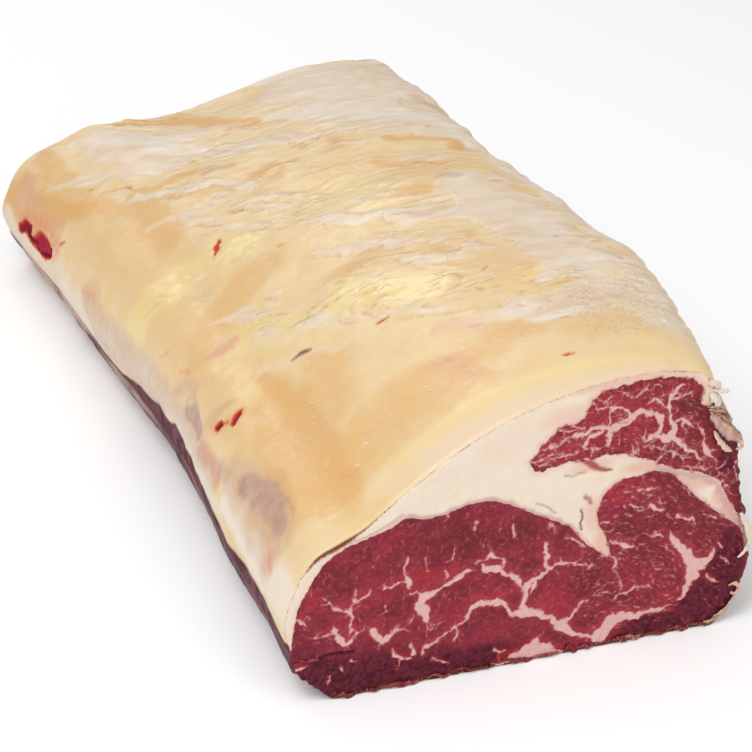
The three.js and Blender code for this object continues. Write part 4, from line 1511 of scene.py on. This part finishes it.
def fat_face(x, z, share):
    """What a cut through the fat shows at section points, the same for both shares of the length."""
    at = np.stack([x, z], 1)
    to_eye = distance_to(at, eye_edge)
    to_cap = distance_to(at, cap_edge)
    to_outside = distance_to(at, fat_line)
    skin_line = smooth(1.8, 0.6, to_eye + 0.7 * noise(x / 4, z / 4, SEED + 15))
    skin_line *= np.maximum(smooth(-60, -40, x) * smooth(22, 12, x), 0.5 * smooth(42, 50, x))
    membrane = 0.7 * smooth(3.6, 1.4, to_cap + noise(x / 3, z / 3, SEED + 36))
    membrane *= smooth(0.2, 0.9, to_cap) * smooth(40, 50, x) * smooth(72, 66, z)
    cracks = np.max(
        [deep * smooth(0.6, 0.1, distance_to(at, strand_path(way))) for deep, way in FAT_CRACKS], axis=0)
    arris = np.interp(x, ARRIS_X, ARRIS_WIDTH)
    ragged = 0.55 * layered_noise(x / 2.2, z / 2.2, SEED + 24, 2) - 0.1
    near = np.minimum(to_eye + 0.4 * smooth(30, -20, x), to_cap)
    rim = np.maximum(
        smooth(3.4, 0.3, to_cap) * (0.35 + 0.35 * smooth(80, 90, z)),
        smooth(2.6, 0.3, to_eye) * (0.3 + 0.5 * smooth(17, 23, x) * smooth(36, 30, x)))
    values = {
        "cut": np.ones(len(x)),
        "across": x * 0.5,
        "along": z * 3,
        "grey": np.clip(0.85 * skin_line + 1.2 * membrane, 0, 1),
        "blush": np.maximum(patches(x, z, FAT_BLUSH), rim),
        "brown": np.maximum(
            smooth(1.0, 0.6, (to_outside + 0.3 * noise(x / 1.5, z / 1.5, SEED + 35)) / arris), cracks),
        "flesh": np.maximum(smooth(-0.25, 0.25, ragged - near), strokes(x + ragged, z, FAT_SPURS)),
        "wet": np.full(len(x), 0.3),
    }
    return values, 0.15 * layered_noise(x / 7, z / 7, SEED + 16, 2) - 0.4 * cracks


def lean_face(field, flecks, edge):
    """A function that gives what the cut through a muscle shows."""
    nearby = fat_nearby(field)

    def values(x, z, share):
        drift = FAR_DRIFT * share
        warp_x = x + 0.9 * layered_noise(x / 4, z / 4, SEED + 17, 3)
        warp_x += drift * noise(x / 34, z / 34, SEED + 18)
        warp_z = z + 0.9 * layered_noise(x / 4, z / 4, SEED + 19, 3)
        warp_z += drift * noise(x / 34, z / 34, SEED + 20)
        depth = sample(field, warp_x, warp_z)
        at = np.stack([x, z], 1)
        to_fat = distance_to(at, edge)
        depth = np.maximum(depth, 0.5 * layered_noise(x / 2.2, z / 2.2, SEED + 24, 2) - to_fat)
        spot_x = x + 3 * noise(x / 9, z / 9, SEED + 21)
        spot_z = z + 2 * noise(x / 9, z / 9, SEED + 22)
        dried = patches(spot_x, spot_z, DRIED)
        depth = np.maximum(depth, sample(flecks, x, z) - 0.25 * dried)
        to_crack = distance_to(at, strand_path(EYE_CRACK))
        crumbs = 1.4 * layered_noise(x / 4, z / 4, SEED + 23, 2)
        crust = smooth(2.2 + 2.6 * smooth(20, 45, x), 0.2, z + crumbs)
        crust *= smooth(80, 72, np.abs(x))
        given = {
            "vein": np.clip(depth / 0.6, -1, 1),
            "glow": sample(nearby, warp_x, warp_z - 1),
            "rich": patches(spot_x, spot_z, BRIGHT) - patches(spot_x, spot_z, DEEP),
            "dry": np.maximum(dried, 1.5 * smooth(1.0, 0.3, to_crack)),
            "crust": 0.8 * crust,
            "mottled": 0.4 + 0.5 * smooth(5, 35, x) + 0.2 * noise(x / 12, z / 12, SEED + 45),
        }
        return given, 0.16 * smooth(-0.2, 0.3, depth) - 0.9 * smooth(0.9, 0.1, to_crack)
    return values


def lean_outside(parts, points, rows, seed):
    """The dried side of a muscle, with membranes and streaks of fat along it."""
    run, d = np.meshgrid(run_of(points), rows)
    x = np.repeat(points[None, :, 0], len(rows), 0)
    z = np.repeat(points[None, :, 1], len(rows), 0)
    fringe = smooth(0, 4, run) * smooth(0, 4, run[0, -1] - run)
    lumps = layered_noise(run / 20, d / 44, seed, 3) + 0.25 * layered_noise(run / 4, d / 9, seed + 1, 2)
    ragged = 1.3 * layered_noise(run / 3.5, d / 6, seed + 6, 3) * np.exp(-d / 6)
    flat = smooth(0.5, 6, z)
    relief = (lumps + ragged) * fringe * flat + edge_round(rows, len(points)) * smooth(0, 1.5, z)
    membrane = 0.5 * smooth(0.0, 0.8, layered_noise(run / 8, d / 70, seed + 2, 3)) * smooth(1, 5, z)
    far_left = smooth(-70, -78, x) * smooth(150, 290, d + 50 * layered_noise(run / 6, d / 60, seed + 7, 3))
    upper = smooth(68, 88, z + 8 * layered_noise(run / 14, d / 34, seed + 9, 3))
    streak = layered_noise(run / 4, d / 50, seed + 3, 3) - 0.9 - smooth(-60, -80, x)
    surface = skin(points, rows, relief)
    notch = np.maximum(layered_noise(x / 4.5, d / 5, seed + 8, 3), 0) * np.exp(-d / 2.5)
    surface[..., 2] += 1.6 * notch * smooth(1.5, 0, z)
    parts.add(
        surface, grid_faces(len(rows), len(points)),
        vein=np.clip(2 * streak * smooth(1, 6, z) - 0.4 * (1 - flat), -1, 1),
        dry=0.85 + 0.25 * noise(run / 9, d / 22, seed + 4),
        skin=np.maximum(membrane, far_left) + 0.9 * upper,
        leather=smooth(1, 9, d + 2 * noise(run / 4, d / 4, seed + 10)),
        crust=0.5 * (1 - flat) * smooth(-0.2, 0.6, layered_noise(x / 14, d / 14, seed + 5, 3)),
    )
    return surface


def rag(parts, way, half_width, curl, seed, tones):
    """A thin shred of membrane along a way of (x, d, z) points, curled across, dark red on its inside."""
    half = RAG_SIDE_POINTS
    t = np.linspace(0, 1, RAG_STEPS)
    path = catmull_rom(way, t)
    ahead = np.gradient(path, axis=0)
    across = np.cross(ahead, RAG_FACING)
    across /= np.linalg.norm(across, axis=1, keepdims=True)
    out = np.cross(across, ahead)
    out /= np.linalg.norm(out, axis=1, keepdims=True)
    angle = np.linspace(-curl, curl, half)
    around = np.concatenate([angle, angle[::-1]])
    radius = half_width / curl * np.ones(2 * half)
    radius[half:] = np.maximum(radius[half:] - RAG_THICKNESS, 0.1)
    size = np.sin(math.pi * np.clip(t, 0.02, 0.98))[:, None] ** 0.4
    size = size * (1 + 0.4 * layered_noise(9 * t[:, None], 2 * np.sin(around)[None, :] + 5, seed, 3))
    rings = (
        path[:, None] + across[:, None] * (np.sin(around) * radius * size)[..., None]
        + out[:, None] * ((np.cos(around) - math.cos(curl)) * radius * size)[..., None])
    at = np.arange(RAG_STEPS * 2 * half).reshape(RAG_STEPS, 2 * half)
    beside = np.roll(at, -1, 1)
    quads = np.stack([at[:-1], beside[:-1], beside[1:], at[1:]], -1).reshape(-1, 4)
    values = {"cut": tones.get("cut", 0)}
    for k, name in enumerate(["blush", "grey", "brown", "blood", "dry", "crust", "vein"]):
        pattern = layered_noise(5 * t[:, None], 3 * around[None, :] / curl, seed + 5 * k + 2, 2)
        values[name] = tones.get(name, 0) * (0.3 + 0.7 * smooth(-0.5, 0.5, pattern))
    inner = np.repeat((np.arange(2 * half) >= half)[None, :], RAG_STEPS, 0)
    values["blood"] = np.maximum(values["blood"], inner)
    parts.add(rings, quads.tolist() + [at[0, ::-1].tolist(), at[-1].tolist()], **values)


def bottom_crust(parts):
    """Shreds of dried crust that stick out along the bottom edge of the shown cut."""
    draw = np.random.default_rng(SEED + 9)
    for seed in range(CRUST_COUNT):
        x = CRUST_FROM + (CRUST_TO - CRUST_FROM) * (seed + draw.uniform(0.1, 0.9)) / CRUST_COUNT
        half = draw.uniform(2.5, 6.5)
        low = draw.uniform(0.5, 1.1)
        high = draw.uniform(1.1, 2.6)
        way = [
            (x - half, 0.2, low), (x - 0.2 * half, -0.7, high),
            (x + 0.4 * half, -0.8, low), (x + half, 0.2, low),
        ]
        tones = {"dry": 1.0, "crust": draw.uniform(0.3, 1.2), "vein": draw.uniform(-1.0, 0.3)}
        rag(parts, way, draw.uniform(0.5, 1.2), 0.9, SEED + 200 + 3 * seed, tones)


def build_fat():
    """The fat over and between the muscles, with shreds of membrane at the right edge of its shown cut."""
    parts = Parts(FAT_VALUES)
    top, values = fat_outside()
    parts.add(top, grid_faces(len(fine_rows), len(fat_line)), **values)
    seam, seam_values = seam_outside()
    parts.add(seam, grid_faces(len(side_rows), len(seam_line)), **seam_values)
    hidden_wall(parts, cap_edge, top[:, -1], fine_rows, seam[:, 0], side_rows, flip=False)
    hidden_wall(parts, eye_edge, seam[:, -1], side_rows, top[:, 0], fine_rows, flip=False, lean=1.0)
    outline = np.vstack([fat_line, cap_edge[1:-1], seam_line, eye_edge[1:-1]])
    for share, row, spacing in ((0, 0, FAT_CUT_SPACING), (1, -1, FAR_FAT_CUT_SPACING)):
        cap_wall = on_section(cap_edge[1:-1], share)
        eye_wall = on_section(eye_edge[1:-1], share)
        walls = np.vstack([top[row], cap_wall, seam[row], eye_wall])
        cut_face(parts, outline, walls, spacing, share, fat_face)
    for seed, (way, half_width, curl, tones) in enumerate(RAGS):
        rag(parts, way, half_width, curl, SEED + 80 + 3 * seed, tones)
    parts.piece("fat", fat_material(), "fat_cover", "fat")


def lean_parts(edge, outside, shown, spacing, seed):
    """The surfaces of a muscle: its dried side, the wall under the fat and both cuts."""
    parts = Parts(LEAN_VALUES)
    side = lean_outside(parts, outside, side_rows, seed)
    hidden_wall(parts, edge, side[:, 0], side_rows, side[:, -1], side_rows, flip=True)
    outline = np.vstack([outside, edge[-2:0:-1]])
    for share, row, step in ((0, 0, spacing), (1, -1, FAR_CUT_COARSENESS * spacing)):
        walls = np.vstack([side[row], on_section(edge[-2:0:-1], share)])
        cut_face(parts, outline, walls, step, share, shown)
    return parts


def build_eye():
    """The large muscle, with crust along the bottom edge of its shown cut."""
    shown = lean_face(eye_field, eye_flecks, eye_edge)
    parts = lean_parts(eye_edge, eye_line, shown, EYE_CUT_SPACING, SEED + 40)
    bottom_crust(parts)
    material = lean_material(
        "eye_meat", fresh=tone(152, 55, 71), deep=tone(126, 44, 60), flush=0.55, slant=0.5)
    parts.piece("eye", material, "eye_lean", "eye_meat")


def build_cap():
    """The smaller muscle over the right shoulder."""
    shown = lean_face(cap_field, cap_flecks, cap_edge)
    parts = lean_parts(cap_edge, cap_line, shown, CAP_CUT_SPACING, SEED + 60)
    material = lean_material(
        "cap_meat", fresh=tone(148, 42, 56), deep=tone(120, 31, 44), flush=0.3, slant=0.6)
    parts.piece("cap", material, "cap_lean", "cap_meat")


def add_floor():
    """A pale floor just under the loin."""
    bpy.ops.mesh.primitive_plane_add(size=FLOOR_SIZE)
    floor = bpy.context.object
    floor.name = "floor"
    floor.location.z = -FLOOR_GAP * MM
    g = Graph("floor")
    g.shader.inputs["Base Color"].default_value = FLOOR_TONE
    g.shader.inputs["Roughness"].default_value = FLOOR_ROUGHNESS
    g.shader.inputs["Emission Color"].default_value = WHITE_LIGHT
    g.shader.inputs["Emission Strength"].default_value = FLOOR_GLOW
    floor.data.materials.append(g.material)


def add_world():
    """Even white light from all around."""
    world = bpy.data.worlds.new("studio")
    world.use_nodes = True
    background = world.node_tree.nodes["Background"]
    background.inputs["Color"].default_value = WHITE_LIGHT
    background.inputs["Strength"].default_value = WORLD_LIGHT
    bpy.context.scene.world = world


def add_to_scene(name, data, at, ahead):
    """A lamp or camera at a place, looking ahead."""
    made = bpy.data.objects.new(name, data)
    made.location = at
    made.rotation_euler = ahead.to_track_quat("-Z", "Y").to_euler()
    bpy.context.scene.collection.objects.link(made)
    return made


def add_lamps():
    """Soft lamps that face the loin."""
    for name, (at, power, size) in LAMPS.items():
        lamp = bpy.data.lights.new(name, "AREA")
        lamp.energy = power
        lamp.size = size
        add_to_scene(name, lamp, at, Vector(LAMP_TARGET) - Vector(at))


def add_camera():
    """The camera of the photo, with colours shown as they are."""
    around = math.radians(CAMERA_AROUND)
    above = math.radians(CAMERA_ABOVE)
    away = CAMERA_DISTANCE * Vector((
        math.sin(around) * math.cos(above), -math.cos(around) * math.cos(above), math.sin(above)))
    lens = bpy.data.cameras.new("camera")
    lens.sensor_width = SENSOR_WIDTH
    lens.lens = SENSOR_WIDTH * FOCAL_PIXELS / PHOTO_PIXELS
    scene = bpy.context.scene
    scene.camera = add_to_scene("camera", lens, Vector(CAMERA_TARGET) + away, -away)
    scene.view_settings.view_transform = "Standard"


add_floor()
add_world()
add_lamps()
add_camera()
build_fat()
build_eye()
build_cap()
